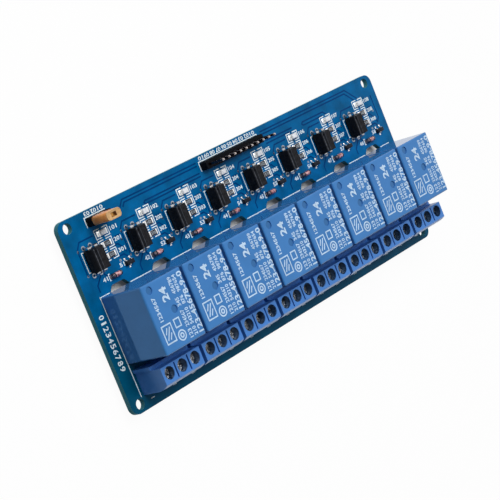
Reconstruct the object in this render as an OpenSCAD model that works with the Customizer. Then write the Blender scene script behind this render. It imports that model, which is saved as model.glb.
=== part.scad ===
// Eight-channel relay module board, in millimetres, +Z up.
// The origin is the centre of the four mounting holes, on the underside of the circuit board.
// The screw terminals stand along the -Y edge and the two pin headers along the +Y edge.

/* [Circuit board] */
// Thickness of the circuit board
board_t = 1.6; // [1.0:0.1:2.4]
// Radius of the board's corners
board_corner_r = 2.5; // [0.5:0.25:3]
// From the left edge of the board to the first relay
left_margin = 4.6; // [4:0.1:12]
// From the last relay to the right edge of the board
right_margin = 3.45; // [2.5:0.05:12]
// Depth of the strip behind the relays
rear_depth = 22.2; // [21.5:0.1:40]
// Diameter of the mounting holes
mount_hole_d = 3.0; // [2.2:0.1:3.0]
// From the left and right edges to the mounting holes
mount_inset_x = 3.35; // [2.8:0.05:3.6]
// From the front and back edges to the mounting holes
mount_inset_y = 2.3; // [2.1:0.05:2.3]
// Radial clearance of a pin in its drilled hole
pin_hole_clearance = 0.1; // [0.05:0.05:0.2]
// Length of the heavy pins below the board
heavy_pin_tail = 1.9; // [1.6:0.1:3]
// Length of the light pins and leads below the board
light_pin_tail = 1.3; // [0.8:0.1:1.5]

/* [Channels] */
// Gap between one relay and the next
relay_gap = 1.05; // [0.8:0.05:4]
// Gap between one terminal and the tongue of the next
terminal_gap = 0.81; // [0.5:0.01:1]

/* [Isolation slots] */
// Width of the milled slot
slot_w = 2.0; // [0.8:0.1:2.2]
// From the relay's centre line to each leg of the slot
slot_leg_x = 3.3; // [2.6:0.1:4]
// From the relay's centre line to each end of the slot's crown
slot_crown_x = 1.9; // [0.8:0.05:2.2]
// How far the crown stands behind the relay
slot_crown_y = 0.6; // [0.4:0.05:1.5]
// How far in front of the relay's back face the legs straighten
slot_knee_y = 1.1; // [0.3:0.05:1.6]
// How far in front of the relay's back face the legs end
slot_leg_y = 5.5; // [3:0.1:7]

/* [Relays] */
// Width of a relay
relay_w = 15.4; // [14:0.1:20]
// Depth of a relay
relay_d = 19.0; // [18.5:0.1:22]
// Height of a relay's case
relay_h = 15.5; // [12:0.1:20]
// Height of the feet under a relay's case
relay_foot_h = 0.3; // [0.2:0.05:0.6]
// Width of the feet under a relay's case
relay_foot_w = 1.4; // [1:0.1:2]
// Radius of the case's edges
relay_edge_r = 0.5; // [0.2:0.1:0.9]
// Wall of the case round the base plate
relay_wall = 0.9; // [0.7:0.05:1.2]
// Thickness of the base plate
relay_base_t = 1.2; // [0.8:0.1:2]
// How far the base plate lies above the case's rim
relay_base_recess = 0.4; // [0.2:0.1:0.8]
// Clearance round the base plate, and round the pins in it
relay_base_clearance = 0.05; // [0.02:0.01:0.1]
// Radius of the two round marks on the case's top
dimple_r = 1.1; // [0.6:0.1:1.5]
// Depth of the two round marks
dimple_depth = 0.3; // [0.05:0.05:0.5]
// From the case's left and back faces to the first mark
dimple_inset = [2.6, 1.8];
// From the case's centre to the second mark
dimple_offset = [0.6, 0.4];
// From the case's back face to the common pin
common_pin_inset = 1.9; // [1.6:0.1:2.6]
// From the common pin to the coil pins, along Y
coil_pin_setback = 2.0; // [1.5:0.1:3]
// From the case's front face to the contact pins
contact_pin_inset = 2.9; // [1.8:0.1:4]
// From the case's sides to the coil and contact pins
side_pin_inset = 1.7; // [1.6:0.1:2.5]
// Width and thickness of the common and contact pins
contact_pin = [1.0, 0.4];
// Width and thickness of the coil pins
coil_pin = [0.6, 0.6];

/* [Screw terminals] */
// Depth of a housing at its foot
terminal_d = 7.15; // [7.1:0.05:9]
// Height of a housing
terminal_h = 10.0; // [9:0.1:12]
// From the board's front edge to the housings
terminal_setback = 3.85; // [3.85:0.05:8]
// From the housings to the relays
terminal_relay_gap = 2.0; // [0.6:0.1:6]
// How far the housings stand to the right of the relays
terminal_shift = 0.92; // [0:0.02:0.94]
// How far the front face leans back at the top
terminal_lean = 1.3; // [0.8:0.1:1.5]
// Height at which the front face starts to lean
terminal_lean_z = 5.9; // [5:0.1:7]
// Depth of the ledge behind the top
ledge_d = 1.05; // [0.4:0.05:1.2]
// Height of the ledge
ledge_z = 6.5; // [5.5:0.1:8]
// From the housing's front face to the screws
screw_setback = 3.9; // [3.8:0.05:3.9]
// Radius of the screw wells
well_r = 1.78; // [1.7:0.02:1.9]
// Width of the slits between the ways
slit_w = 0.5; // [0.3:0.1:0.7]
// Depth of the slits
slit_depth = 1.4; // [0.6:0.1:2.5]
// Length of the slits
slit_l = 4.2; // [3:0.1:4.3]
// Width and height of the wire entries
entry = [3.4, 3.4];
// Bevel round the wire entries
entry_bevel = 0.5; // [0.2:0.1:0.6]
// How far the side tongues stand out
tongue_out = 0.4; // [0.2:0.05:0.6]
// Depth of the side tongues, along Y
tongue_d = 0.9; // [0.6:0.1:0.9]
// Clearance of the side grooves round a tongue
tongue_clearance = 0.05; // [0.02:0.01:0.1]

/* [Terminal contacts and screws] */
// Width, depth and height of a contact's cage
cage = [3.6, 4.0, 4.3];
// Thickness of the cage's sides and floor
cage_wall = 0.5; // [0.3:0.1:0.7]
// Thickness of the cage's threaded roof
cage_roof = 1.0; // [0.7:0.1:1.4]
// Height of the cages above the board
cage_lift = 0.5; // [0.3:0.1:0.8]
// Clearance round a cage in its housing
cage_clearance = 0.1; // [0.05:0.05:0.15]
// Diameter of a contact's solder pin
terminal_pin_d = 1.0; // [0.8:0.1:1.2]
// Radius of the screws' thread
thread_r = 1.2; // [1:0.05:1.25]
// Clearance of the thread in the cage's roof
thread_clearance = 0.05; // [0.02:0.01:0.1]
// Radius of the screws' heads
head_r = 1.6; // [1.5:0.02:1.64]
// Height of the screws' heads
head_h = 1.3; // [1:0.1:1.6]
// From the housing's top down to the screws' heads
head_sink = 2.0; // [1.6:0.1:3.4]
// Width of the screwdriver slot
driver_slot_w = 0.5; // [0.4:0.1:0.8]
// Depth of the screwdriver slot
driver_slot_depth = 0.6; // [0.4:0.1:0.8]
// How far the screws reach into the wire space
screw_reach = 0.5; // [0.2:0.1:1.5]

/* [Optocouplers] */
// Width, depth and height of the moulded body
opto = [4.6, 6.5, 3.45];
// Height of the body above the board
opto_lift = 0.45; // [0.3:0.05:0.8]
// How far the body's faces lean in
opto_draft = 0.3; // [0.1:0.05:0.5]
// From the relay's left side to the optocoupler's centre
opto_inset = 2.37; // [2.25:0.01:2.5]
// From the relays to the optocouplers' centre
opto_y = 9.7; // [9.2:0.1:12]
// Distance between the two rows of leads
opto_row_span = 7.6; // [7.4:0.1:8]
// Distance between the leads of a row
opto_lead_pitch = 2.54; // [2.4:0.02:2.6]
// Thickness of the leads
opto_lead_t = 0.25; // [0.2:0.05:0.3]
// Width of the leads at their shoulder and below it
opto_lead_w = [1.1, 0.5];
// Radius of the mark on the body's top
opto_mark_r = 0.4; // [0.3:0.05:0.5]
// Depth of the mark
opto_mark_depth = 0.15; // [0.05:0.05:0.3]
// From the body's left and back faces to the mark
opto_mark_inset = [1.2, 1.1];

/* [Chip parts] */
// Length and width of the chip parts
chip = [3.2, 1.6];
// Height of the resistors
resistor_h = 0.55; // [0.4:0.05:0.8]
// Height of the light-emitting diodes
led_h = 1.1; // [0.8:0.1:1.6]
// Height of the light-emitting diodes' carrier
led_base_h = 0.5; // [0.4:0.05:0.6]
// Radius of the lens's upper edges
led_lens_r = 0.3; // [0.1:0.05:0.5]
// Length of the metal ends
chip_end = 0.5; // [0.3:0.05:0.6]
// How far the metal ends stand proud
chip_end_proud = 0.05; // [0.03:0.01:0.1]
// From the relay's centre line to the chip parts
chip_x = 1.35; // [1.2:0.05:1.9]
// From the relays to the base resistors
chip_y = 8.85; // [8:0.05:9.5]
// Distance from one row of chip parts to the next
chip_step = 3.15; // [2:0.05:3.2]
// Length and diameter of the diodes
diode = [3.5, 1.45];
// Length of the diodes' metal ends
diode_end = 0.45; // [0.3:0.05:0.7]
// From the relay's centre line to the diodes
diode_x = -0.05; // [-1:0.05:1]
// From the relays to the diodes
diode_y = 3.6; // [2.8:0.1:4.6]
// Width, depth and height of a transistor's body
transistor = [2.9, 1.3, 1.0];
// Height of a transistor's body above the board
transistor_lift = 0.1; // [0.05:0.01:0.2]
// How far a transistor's faces lean in
transistor_draft = 0.1; // [0.05:0.01:0.2]
// From the relay's right side to the transistor's centre
transistor_inset = 1.7; // [1.5:0.1:3.2]
// From the relays to the transistors
transistor_y = 4.85; // [3:0.05:6]
// Length of a transistor's leads, outside its body
transistor_lead_l = 0.7; // [0.5:0.05:0.9]
// From a transistor's body to the bend of its leads
transistor_lead_bend = 0.25; // [0.15:0.05:0.3]
// Width and thickness of a transistor's leads
transistor_lead = [0.4, 0.15];
// Distance between a transistor's two back leads
transistor_lead_pitch = 1.9; // [1.6:0.1:2.2]

/* [Pin headers] */
// Distance from one header pin to the next
header_pitch = 2.54; // [2.5:0.01:2.6]
// Depth of the headers' base
header_d = 2.5; // [2.2:0.1:2.6]
// Height of the headers' base
header_h = 2.54; // [2:0.02:3]
// Bevel between the headers' pin cells
header_bevel = 0.45; // [0.2:0.05:0.6]
// Width of the square header pins
header_pin_w = 0.64; // [0.5:0.02:0.7]
// Length of the pins' pointed tips
header_tip = 0.5; // [0.3:0.05:0.7]
// Length of the input pins above their base
input_pin_l = 6.0; // [4:0.1:9]
// Length of the supply pins above their base
supply_pin_l = 4.7; // [4:0.1:4.8]
// From the board's back edge to the headers' pins
header_inset = 3.2; // [2.2:0.05:3.4]
// How far the input header lies from the board's middle
input_header_x = -0.37; // [-6:0.01:6]
// From the board's left edge to the supply header's middle pin
supply_header_x = 13.81; // [12:0.01:20]

/* [Jumper cap] */
// Length, depth and height of the cap
cap = [5.2, 2.5, 6.0];
// Wall of the cap
cap_wall = 0.45; // [0.4:0.05:0.5]
// Thickness of the cap's top
cap_roof = 0.8; // [0.6:0.1:0.9]
// Radius of the cap's upper edges
cap_edge_r = 0.3; // [0.1:0.05:0.4]
// Radius of the cap's upright corners
cap_corner_r = 0.9; // [0.3:0.1:1.1]
// Gap between the cap and the header's base
cap_gap = 0.06; // [0.04:0.01:0.3]
// Length and width of the probe slot in the cap's top
probe_slot = [1.8, 0.8];
// Thickness of the clip's strip
clip_t = 0.2; // [0.15:0.05:0.25]
// Clearance between the clip and each pin
clip_clearance = 0.02; // [0.01:0.01:0.05]
// Clearance between the clip and the cap
clip_fit = 0.1; // [0.05:0.01:0.15]
// Height of the clip
clip_h = 4.2; // [3:0.1:4.4]

/* [Solder] */
// How far a solder joint spreads beyond the drilled hole
solder_spread = 0.35; // [0.2:0.05:0.45]
// Share of a pin's tail that the solder climbs
solder_climb = 0.6; // [0.4:0.05:0.8]
// Solder left on a pin where the joint ends
solder_skin = 0.08; // [0.05:0.01:0.15]

/* [Hidden] */
$fn = 48;
channels = 8;
ways = 3;
input_pins = 10;
supply_pins = 3;
// A cut runs past the face it opens by this much.
over = 0.5;
// Each clamp screw is left turned this far past the one before it.
screw_turn = 47;

numbers = [1 : channels];

// A channel is as wide as a relay and its gap, and the three ways of its terminal share that width.
channel_pitch = relay_w + relay_gap;
block_w = channel_pitch - terminal_gap - tongue_out;
way_pitch = block_w / ways;

// The board's outline follows the row of relays and the strips before and behind it.
board_l = left_margin + (channels - 1) * channel_pitch + relay_w + right_margin;
board_w = terminal_setback + terminal_d + terminal_relay_gap + relay_d + rear_depth;
left_x = -board_l / 2;
front_y = -board_w / 2;
back_y = board_w / 2;
top_z = board_t;

terminal_y = front_y + terminal_setback;
relay_front_y = terminal_y + terminal_d + terminal_relay_gap;
relay_back_y = relay_front_y + relay_d;
relay_y = (relay_front_y + relay_back_y) / 2;
common_pin_y = relay_back_y - common_pin_inset;
contact_pin_y = relay_front_y + contact_pin_inset;
side_pin_x = relay_w / 2 - side_pin_inset;
relay_rim_z = top_z + relay_foot_h;
relay_base_z = relay_rim_z + relay_base_recess;

screw_y = terminal_y + screw_setback;
cage_z = top_z + cage_lift;
cage_top_z = cage_z + cage[2];
wire_top_z = cage_top_z - cage_roof;
wire_z = (cage_z + cage_wall + wire_top_z) / 2;
head_top_z = top_z + terminal_h - head_sink;

opto_x = opto_inset - relay_w / 2;
transistor_x = relay_w / 2 - transistor_inset;

header_y = back_y - header_inset;
header_hole_d = norm([header_pin_w, header_pin_w]) + 2 * pin_hole_clearance;
supply_x = left_x + supply_header_x;
cap_x = supply_x - header_pitch / 2;
cap_z = top_z + header_h + cap_gap;
clip_top_z = cap_z + cap[2] - cap_roof;

function channel_x(n) = left_x + left_margin + relay_w / 2 + (n - 1) * channel_pitch;
function row_x(count, pitch, i) = (i - (count - 1) / 2) * pitch;

module at_channel(n) {
    translate([channel_x(n), 0, 0]) children();
}

module at_channels() {
    for (n = numbers) at_channel(n) children();
}

// ---- shared outlines ----

module rounded_rect(w, d, r) {
    square([w - 2 * r, d], center = true);
    square([w, d - 2 * r], center = true);
    for (sx = [-1, 1], sy = [-1, 1])
        translate([sx * (w / 2 - r), sy * (d / 2 - r)]) circle(r = r);
}

// An upright face with its foot on the first axis and its two top corners rounded.
module arched_rect(w, h, r) {
    translate([-w / 2, 0]) square([w, h - r]);
    translate([-w / 2 + r, 0]) square([w - 2 * r, h]);
    for (s = [-1, 1]) translate([s * (w / 2 - r), h - r]) circle(r = r);
}

// A box whose upright corners and top edges are rounded.
module cased_box(w, d, h, corner_r, edge_r) {
    intersection() {
        linear_extrude(height = h) rounded_rect(w, d, corner_r);
        rotate([90, 0, 0]) linear_extrude(height = d, center = true) arched_rect(w, h, edge_r);
        rotate([90, 0, 90]) linear_extrude(height = w, center = true) arched_rect(d, h, edge_r);
    }
}

// A moulded half-and-half section: widest at its parting line, drawn in by the draft above and below.
module drafted_rect(w, h, draft) {
    polygon([
        [-w / 2 + draft, 0], [w / 2 - draft, 0], [w / 2, h / 2],
        [w / 2 - draft, h], [-w / 2 + draft, h], [-w / 2, h / 2]
    ]);
}

module drafted_box(size, draft) {
    intersection() {
        rotate([90, 0, 0])
            linear_extrude(height = size[1], center = true) drafted_rect(size[0], size[2], draft);
        rotate([90, 0, 90])
            linear_extrude(height = size[0], center = true) drafted_rect(size[1], size[2], draft);
    }
}

// A slot milled along a straight line, with round ends.
module milled_line(a, b, w) {
    direction = b - a;
    length = norm(direction);
    translate(a) rotate(atan2(direction[1], direction[0])) {
        translate([0, -w / 2]) square([length, w]);
        circle(d = w);
        translate([length, 0]) circle(d = w);
    }
}

// ---- places of the pins ----

module at_relay_contact_pins() {
    at_channels() {
        translate([0, common_pin_y, 0]) children();
        for (s = [-1, 1])
            translate([s * side_pin_x, contact_pin_y, 0]) children();
    }
}

module at_relay_coil_pins() {
    at_channels()
        for (s = [-1, 1])
            translate([s * side_pin_x, common_pin_y - coil_pin_setback, 0]) children();
}

module at_terminal_ways() {
    at_channels()
        for (w = [0 : ways - 1])
            translate([terminal_shift + row_x(ways, way_pitch, w), screw_y, 0]) children();
}

module at_opto_leads() {
    at_channels()
        for (sx = [-1, 1], sy = [-1, 1])
            translate([
                opto_x + sx * opto_lead_pitch / 2,
                relay_back_y + opto_y + sy * opto_row_span / 2,
                0
            ]) children();
}

module at_header_pins(x, count) {
    for (i = [0 : count - 1]) translate([x + row_x(count, header_pitch, i), header_y, 0]) children();
}

// ---- circuit board ----

module drill(d) {
    translate([0, 0, -over]) cylinder(h = board_t + 2 * over, d = d);
}

module isolation_slot() {
    path = [
        [-slot_leg_x, -slot_leg_y], [-slot_leg_x, -slot_knee_y], [-slot_crown_x, slot_crown_y],
        [slot_crown_x, slot_crown_y], [slot_leg_x, -slot_knee_y], [slot_leg_x, -slot_leg_y]
    ];
    translate([0, relay_back_y, -over])
        linear_extrude(height = board_t + 2 * over)
            for (i = [0 : len(path) - 2]) milled_line(path[i], path[i + 1], slot_w);
}

module board() {
    color("#10629c") difference() {
        linear_extrude(height = board_t) rounded_rect(board_l, board_w, board_corner_r);
        for (sx = [-1, 1], sy = [-1, 1])
            translate([sx * (board_l / 2 - mount_inset_x), sy * (board_w / 2 - mount_inset_y), 0])
                drill(mount_hole_d);
        at_channels() isolation_slot();
        at_relay_contact_pins() drill(norm(contact_pin) + 2 * pin_hole_clearance);
        at_relay_coil_pins() drill(norm(coil_pin) + 2 * pin_hole_clearance);
        at_terminal_ways() drill(terminal_pin_d + 2 * pin_hole_clearance);
        at_opto_leads() drill(norm([opto_lead_w[1], opto_lead_t]) + 2 * pin_hole_clearance);
        at_header_pins(input_header_x, input_pins) drill(header_hole_d);
        at_header_pins(supply_x, supply_pins) drill(header_hole_d);
    }
}

// ---- solder ----

// A cone of solder under the board, open where its pin passes.
module solder_cone(pin_d, tail) {
    climb = solder_climb * tail;
    translate([0, 0, -climb])
        cylinder(
            h = climb,
            r1 = pin_d / 2 + solder_skin,
            r2 = pin_d / 2 + pin_hole_clearance + solder_spread
        );
}

module pin_void(size, tail) {
    translate([0, 0, -tail / 2]) cube([size[0], size[1], tail + over], center = true);
}

module solder_joint(size, tail) {
    difference() {
        solder_cone(norm(size), tail);
        pin_void(size, tail);
    }
}

module solder_joints() {
    color("#b9bcc0") {
        at_relay_contact_pins() solder_joint(contact_pin, heavy_pin_tail);
        at_relay_coil_pins() solder_joint(coil_pin, heavy_pin_tail);
        at_opto_leads() solder_joint([opto_lead_w[1], opto_lead_t], light_pin_tail);
        at_header_pins(input_header_x, input_pins)
            solder_joint([header_pin_w, header_pin_w], light_pin_tail);
        at_header_pins(supply_x, supply_pins)
            solder_joint([header_pin_w, header_pin_w], light_pin_tail);
        at_terminal_ways() difference() {
            solder_cone(terminal_pin_d, heavy_pin_tail);
            translate([0, 0, -heavy_pin_tail]) cylinder(h = heavy_pin_tail + over, d = terminal_pin_d);
        }
    }
}

// ---- relays ----

module relay_case(n) {
    mark_x = -relay_w / 2 + dimple_inset[0];
    mark_y = relay_d / 2 - dimple_inset[1];
    foot_x = relay_w / 2 - relay_edge_r - relay_foot_w;
    foot_y = relay_d / 2 - relay_edge_r - relay_foot_w;
    color("#5a8ccd") at_channel(n) translate([0, relay_y, relay_rim_z]) {
        difference() {
            cased_box(relay_w, relay_d, relay_h, relay_edge_r, relay_edge_r);
            translate([0, 0, (relay_base_recess + relay_base_t) / 2 - over / 2])
                cube([
                    relay_w - 2 * relay_wall,
                    relay_d - 2 * relay_wall,
                    relay_base_recess + relay_base_t + over
                ], center = true);
            for (p = [[mark_x, mark_y], dimple_offset])
                translate([p[0], p[1], relay_h - dimple_depth])
                    cylinder(h = dimple_depth + over, r = dimple_r);
        }
        for (sx = [-1, 1], sy = [-1, 1])
            translate([
                sx > 0 ? foot_x : -foot_x - relay_foot_w,
                sy > 0 ? relay_d / 2 - relay_wall : -relay_d / 2,
                -relay_foot_h
            ]) cube([relay_foot_w, relay_wall, relay_foot_h]);
    }
}

module relay_base(n) {
    gap = 2 * relay_base_clearance;
    color("#27457e") difference() {
        at_channel(n) translate([0, relay_y, relay_base_z + relay_base_t / 2])
            cube([relay_w - 2 * relay_wall - gap, relay_d - 2 * relay_wall - gap, relay_base_t],
                center = true);
        at_relay_contact_pins() relay_pin_slot(contact_pin);
        at_relay_coil_pins() relay_pin_slot(coil_pin);
    }
}

module relay_pin_slot(size) {
    translate([0, 0, relay_base_z + relay_base_t / 2])
        cube([
            size[0] + 2 * relay_base_clearance,
            size[1] + 2 * relay_base_clearance,
            relay_base_t + over
        ], center = true);
}

module relay_pin(size) {
    translate([-size[0] / 2, -size[1] / 2, -heavy_pin_tail])
        cube([size[0], size[1], heavy_pin_tail + relay_base_z + relay_base_t]);
}

module relay_pins() {
    color("#c9c6b8") {
        at_relay_contact_pins() relay_pin(contact_pin);
        at_relay_coil_pins() relay_pin(coil_pin);
    }
}

// ---- screw terminals ----

// Side view of a housing: depth along the first axis and height along the second.
module terminal_profile() {
    rise = terminal_h - terminal_lean_z;
    lean_r = (rise * rise + terminal_lean * terminal_lean) / (2 * terminal_lean);
    intersection() {
        union() {
            square([terminal_d, ledge_z]);
            square([terminal_d - ledge_d, terminal_h]);
        }
        union() {
            square([terminal_d, terminal_lean_z]);
            translate([lean_r, terminal_lean_z]) circle(r = lean_r, $fn = 96);
        }
    }
}

// A wire entry: a straight mouth with a bevel all round its outer edge.
module wire_entry(reach) {
    w = entry[0];
    h = entry[1];
    b = entry_bevel;
    translate([-w / 2, -over, -h / 2]) cube([w, reach + over, h]);
    intersection() {
        linear_extrude(height = h + 4 * b, center = true)
            polygon([[-w / 2 - 2 * b, -b], [w / 2 + 2 * b, -b], [w / 2, b], [-w / 2, b]]);
        rotate([90, 0, 90]) linear_extrude(height = w + 4 * b, center = true)
            polygon([[-b, -h / 2 - 2 * b], [b, -h / 2], [b, h / 2], [-b, h / 2 + 2 * b]]);
    }
}

module terminal_way_cut() {
    room_w = cage[0] + 2 * cage_clearance;
    room_d = cage[1] + 2 * cage_clearance;
    room_h = cage_lift + cage[2] + cage_clearance;
    translate([-room_w / 2, screw_setback - room_d / 2, -over]) cube([room_w, room_d, room_h + over]);
    translate([0, screw_setback, room_h - over]) cylinder(h = terminal_h, r = well_r);
    translate([0, 0, wire_z - top_z]) wire_entry(screw_setback);
}

module terminal_housing(n) {
    groove = tongue_out + tongue_clearance;
    color("#3e69c8") at_channel(n) translate([terminal_shift, terminal_y, top_z]) {
        difference() {
            rotate([90, 0, 90]) linear_extrude(height = block_w, center = true) terminal_profile();
            for (w = [0 : ways - 1]) translate([row_x(ways, way_pitch, w), 0, 0]) terminal_way_cut();
            for (b = [0 : ways - 2])
                translate([
                    row_x(ways - 1, way_pitch, b) - slit_w / 2,
                    terminal_d - ledge_d - slit_w / 2 - slit_l,
                    terminal_h - slit_depth
                ]) cube([slit_w, slit_l, slit_depth + over]);
            translate([
                block_w / 2 - groove,
                terminal_d - tongue_d - tongue_clearance,
                -over
            ]) cube([groove + over, tongue_d + over, ledge_z + 2 * over]);
        }
        translate([-block_w / 2 - tongue_out, terminal_d - tongue_d, 0])
            cube([tongue_out + slit_w, tongue_d, ledge_z]);
    }
}

module terminal_contact() {
    difference() {
        translate([0, 0, cage_z + cage[2] / 2]) cube(cage, center = true);
        translate([0, 0, (cage_z + cage_wall + wire_top_z) / 2])
            cube([
                cage[0] - 2 * cage_wall,
                cage[1] + 2 * over,
                wire_top_z - cage_z - cage_wall
            ], center = true);
        translate([0, 0, wire_top_z - over])
            cylinder(h = cage_roof + 2 * over, r = thread_r + thread_clearance);
    }
    translate([0, 0, -heavy_pin_tail])
        cylinder(h = heavy_pin_tail + cage_z + cage_wall / 2, d = terminal_pin_d);
}

module terminal_contacts() {
    color("#c9a24a") at_terminal_ways() terminal_contact();
}

module clamp_screw(turn) {
    tip_z = wire_top_z - screw_reach;
    rotate(turn) difference() {
        union() {
            translate([0, 0, tip_z]) cylinder(h = head_top_z - tip_z, r = thread_r);
            translate([0, 0, head_top_z - head_h]) cylinder(h = head_h, r = head_r);
        }
        translate([0, 0, head_top_z + over / 2 - driver_slot_depth / 2])
            cube([2 * head_r + over, driver_slot_w, driver_slot_depth + over], center = true);
    }
}

module terminal_screws() {
    color("#b4b4b0")
        for (n = numbers, w = [0 : ways - 1])
            at_channel(n)
                translate([terminal_shift + row_x(ways, way_pitch, w), screw_y, 0])
                    clamp_screw(screw_turn * (n * ways + w));
}

// ---- optocouplers ----

module optocoupler(n) {
    color("#17171a") at_channel(n)
        translate([opto_x, relay_back_y + opto_y, top_z + opto_lift]) difference() {
            drafted_box(opto, opto_draft);
            translate([
                opto_mark_inset[0] - opto[0] / 2,
                opto[1] / 2 - opto_mark_inset[1],
                opto[2] - opto_mark_depth
            ]) cylinder(h = opto_mark_depth + over, r = opto_mark_r);
        }
}

// A lead leaves the body at its parting line, bends down through a round corner and passes the board.
module opto_lead() {
    t = opto_lead_t;
    bend_r = 2 * t;
    exit_z = top_z + opto_lift + opto[2] / 2;
    drop_y = opto_row_span / 2;
    shoulder_y = opto[1] / 2;
    translate([0, -drop_y, 0]) {
        rotate([90, 0, 90]) linear_extrude(height = opto_lead_w[0], center = true) {
            translate([shoulder_y, exit_z - t / 2])
                square([drop_y + t / 2 - bend_r - shoulder_y, t]);
            translate([drop_y + t / 2 - bend_r, exit_z + t / 2 - bend_r]) intersection() {
                difference() {
                    circle(r = bend_r);
                    circle(r = bend_r - t);
                }
                square([bend_r, bend_r]);
            }
            translate([drop_y - t / 2, top_z]) square([t, exit_z + t / 2 - bend_r - top_z]);
        }
        translate([-opto_lead_w[1] / 2, drop_y - t / 2, -light_pin_tail])
            cube([opto_lead_w[1], t, light_pin_tail + top_z + t]);
    }
}

module optocoupler_leads() {
    color("#c4c4c0") at_channels()
        for (sx = [-1, 1], turn = [0, 180])
            translate([opto_x + sx * opto_lead_pitch / 2, relay_back_y + opto_y, 0])
                rotate(turn) translate([0, opto_row_span / 2, 0]) opto_lead();
}

// ---- chip parts ----

module chip_row(row) {
    at_channels()
        translate([chip_x, relay_back_y + chip_y + row * chip_step, top_z]) children();
}

// A ceramic bar with a metal cap folded over each end.
module chip_body(h) {
    p = chip_end_proud;
    translate([-chip[0] / 2 + p, -chip[1] / 2 + p, p])
        cube([chip[0] - 2 * p, chip[1] - 2 * p, h - 2 * p]);
    for (s = [0, 1])
        translate([s * (chip[0] - chip_end) - chip[0] / 2, -chip[1] / 2, 0])
            cube([chip_end, chip[1], h]);
}

module base_resistors() {
    color("#2b2b2e") chip_row(0) chip_body(resistor_h);
}

module led_resistors() {
    color("#2b2b2e") chip_row(1) chip_body(resistor_h);
}

module status_leds() {
    lens_l = chip[0] - 2 * chip_end;
    lens_h = led_h - led_base_h + chip_end_proud;
    color("#ece8dc") chip_row(2) {
        chip_body(led_base_h);
        translate([0, 0, led_base_h - chip_end_proud])
            rotate([90, 0, 0])
                linear_extrude(height = chip[1] - 2 * chip_end_proud, center = true)
                    arched_rect(lens_l, lens_h, min(led_lens_r, lens_h / 2));
    }
}

module flyback_diodes() {
    color("#b5502a") at_channels()
        translate([diode_x - diode[0] / 2, relay_back_y + diode_y, top_z + diode[1] / 2])
            rotate([0, 90, 0]) {
                cylinder(h = diode[0], d = diode[1] - 2 * chip_end_proud);
                cylinder(h = diode_end, d = diode[1]);
                translate([0, 0, diode[0] - diode_end]) cylinder(h = diode_end, d = diode[1]);
            }
}

// A gull-wing lead: out of the body at half its height, down, and flat on the board.
module gull_lead() {
    t = transistor_lead[1];
    start = transistor[1] / 2;
    end = start + transistor_lead_l;
    knee = start + transistor_lead_bend;
    z = transistor_lift + transistor[2] / 2;
    rotate([90, 0, 90]) linear_extrude(height = transistor_lead[0], center = true)
        polygon([
            [start - t, z - t / 2], [knee - t / 2, z - t / 2], [knee, 0], [end, 0],
            [end, t], [knee + t, t], [knee + t / 2, z + t / 2], [start - t, z + t / 2]
        ]);
}

module driver_transistors() {
    color("#1d1d20") at_channels()
        translate([transistor_x, relay_back_y + transistor_y, top_z]) {
            translate([0, 0, transistor_lift]) drafted_box(transistor, transistor_draft);
            for (s = [-1, 1]) translate([s * transistor_lead_pitch / 2, 0, 0]) gull_lead();
            rotate(180) gull_lead();
        }
}

// ---- pin headers ----

// Outline of a header's base: one bevelled cell for each pin.
module header_outline(count) {
    p = header_pitch;
    b = header_bevel;
    polygon(concat(
        [for (i = [0 : count - 1], q = [[-p / 2, -1], [-p / 2 + b, 0], [p / 2 - b, 0], [p / 2, -1]])
            [row_x(count, p, i) + q[0], header_d / 2 + b * q[1]]],
        [for (i = [count - 1 : -1 : 0], q = [[p / 2, 1], [p / 2 - b, 0], [-p / 2 + b, 0], [-p / 2, 1]])
            [row_x(count, p, i) + q[0], -header_d / 2 + b * q[1]]]
    ));
}

module header_base(x, count) {
    difference() {
        translate([x, header_y, top_z]) linear_extrude(height = header_h) header_outline(count);
        at_header_pins(x, count)
            translate([0, 0, top_z + header_h / 2])
                cube([header_pin_w, header_pin_w, header_h + 2 * over], center = true);
    }
}

// A square pin drawn down to a blunt point at both ends.
module header_pin(length) {
    w = header_pin_w;
    low = -light_pin_tail;
    high = top_z + header_h + length;
    intersection_for(turn = [0, 90])
        rotate([90, 0, turn]) linear_extrude(height = w, center = true)
            polygon([
                [-w / 4, low], [w / 4, low], [w / 2, low + header_tip], [w / 2, high - header_tip],
                [w / 4, high], [-w / 4, high], [-w / 2, high - header_tip], [-w / 2, low + header_tip]
            ]);
}

module input_header_base() {
    color("#1b1a1e") header_base(input_header_x, input_pins);
}

module input_header_pins() {
    color("#b8b4a4") at_header_pins(input_header_x, input_pins) header_pin(input_pin_l);
}

module supply_header_base() {
    color("#1b1a1e") header_base(supply_x, supply_pins);
}

module supply_header_pins() {
    color("#c8a858") at_header_pins(supply_x, supply_pins) header_pin(supply_pin_l);
}

// ---- jumper cap ----

module jumper_cap() {
    room_h = cap[2] - cap_roof;
    probe_x = (probe_slot[0] - probe_slot[1]) / 2;
    color("#d99a5c") translate([cap_x, header_y, cap_z]) difference() {
        cased_box(cap[0], cap[1], cap[2], cap_corner_r, cap_edge_r);
        translate([0, 0, room_h / 2 - over / 2])
            cube([cap[0] - 2 * cap_wall, cap[1] - 2 * cap_wall, room_h + over], center = true);
        translate([0, 0, room_h - over])
            linear_extrude(height = cap_roof + 2 * over)
                milled_line([-probe_x, 0], [probe_x, 0], probe_slot[1]);
    }
}

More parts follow.
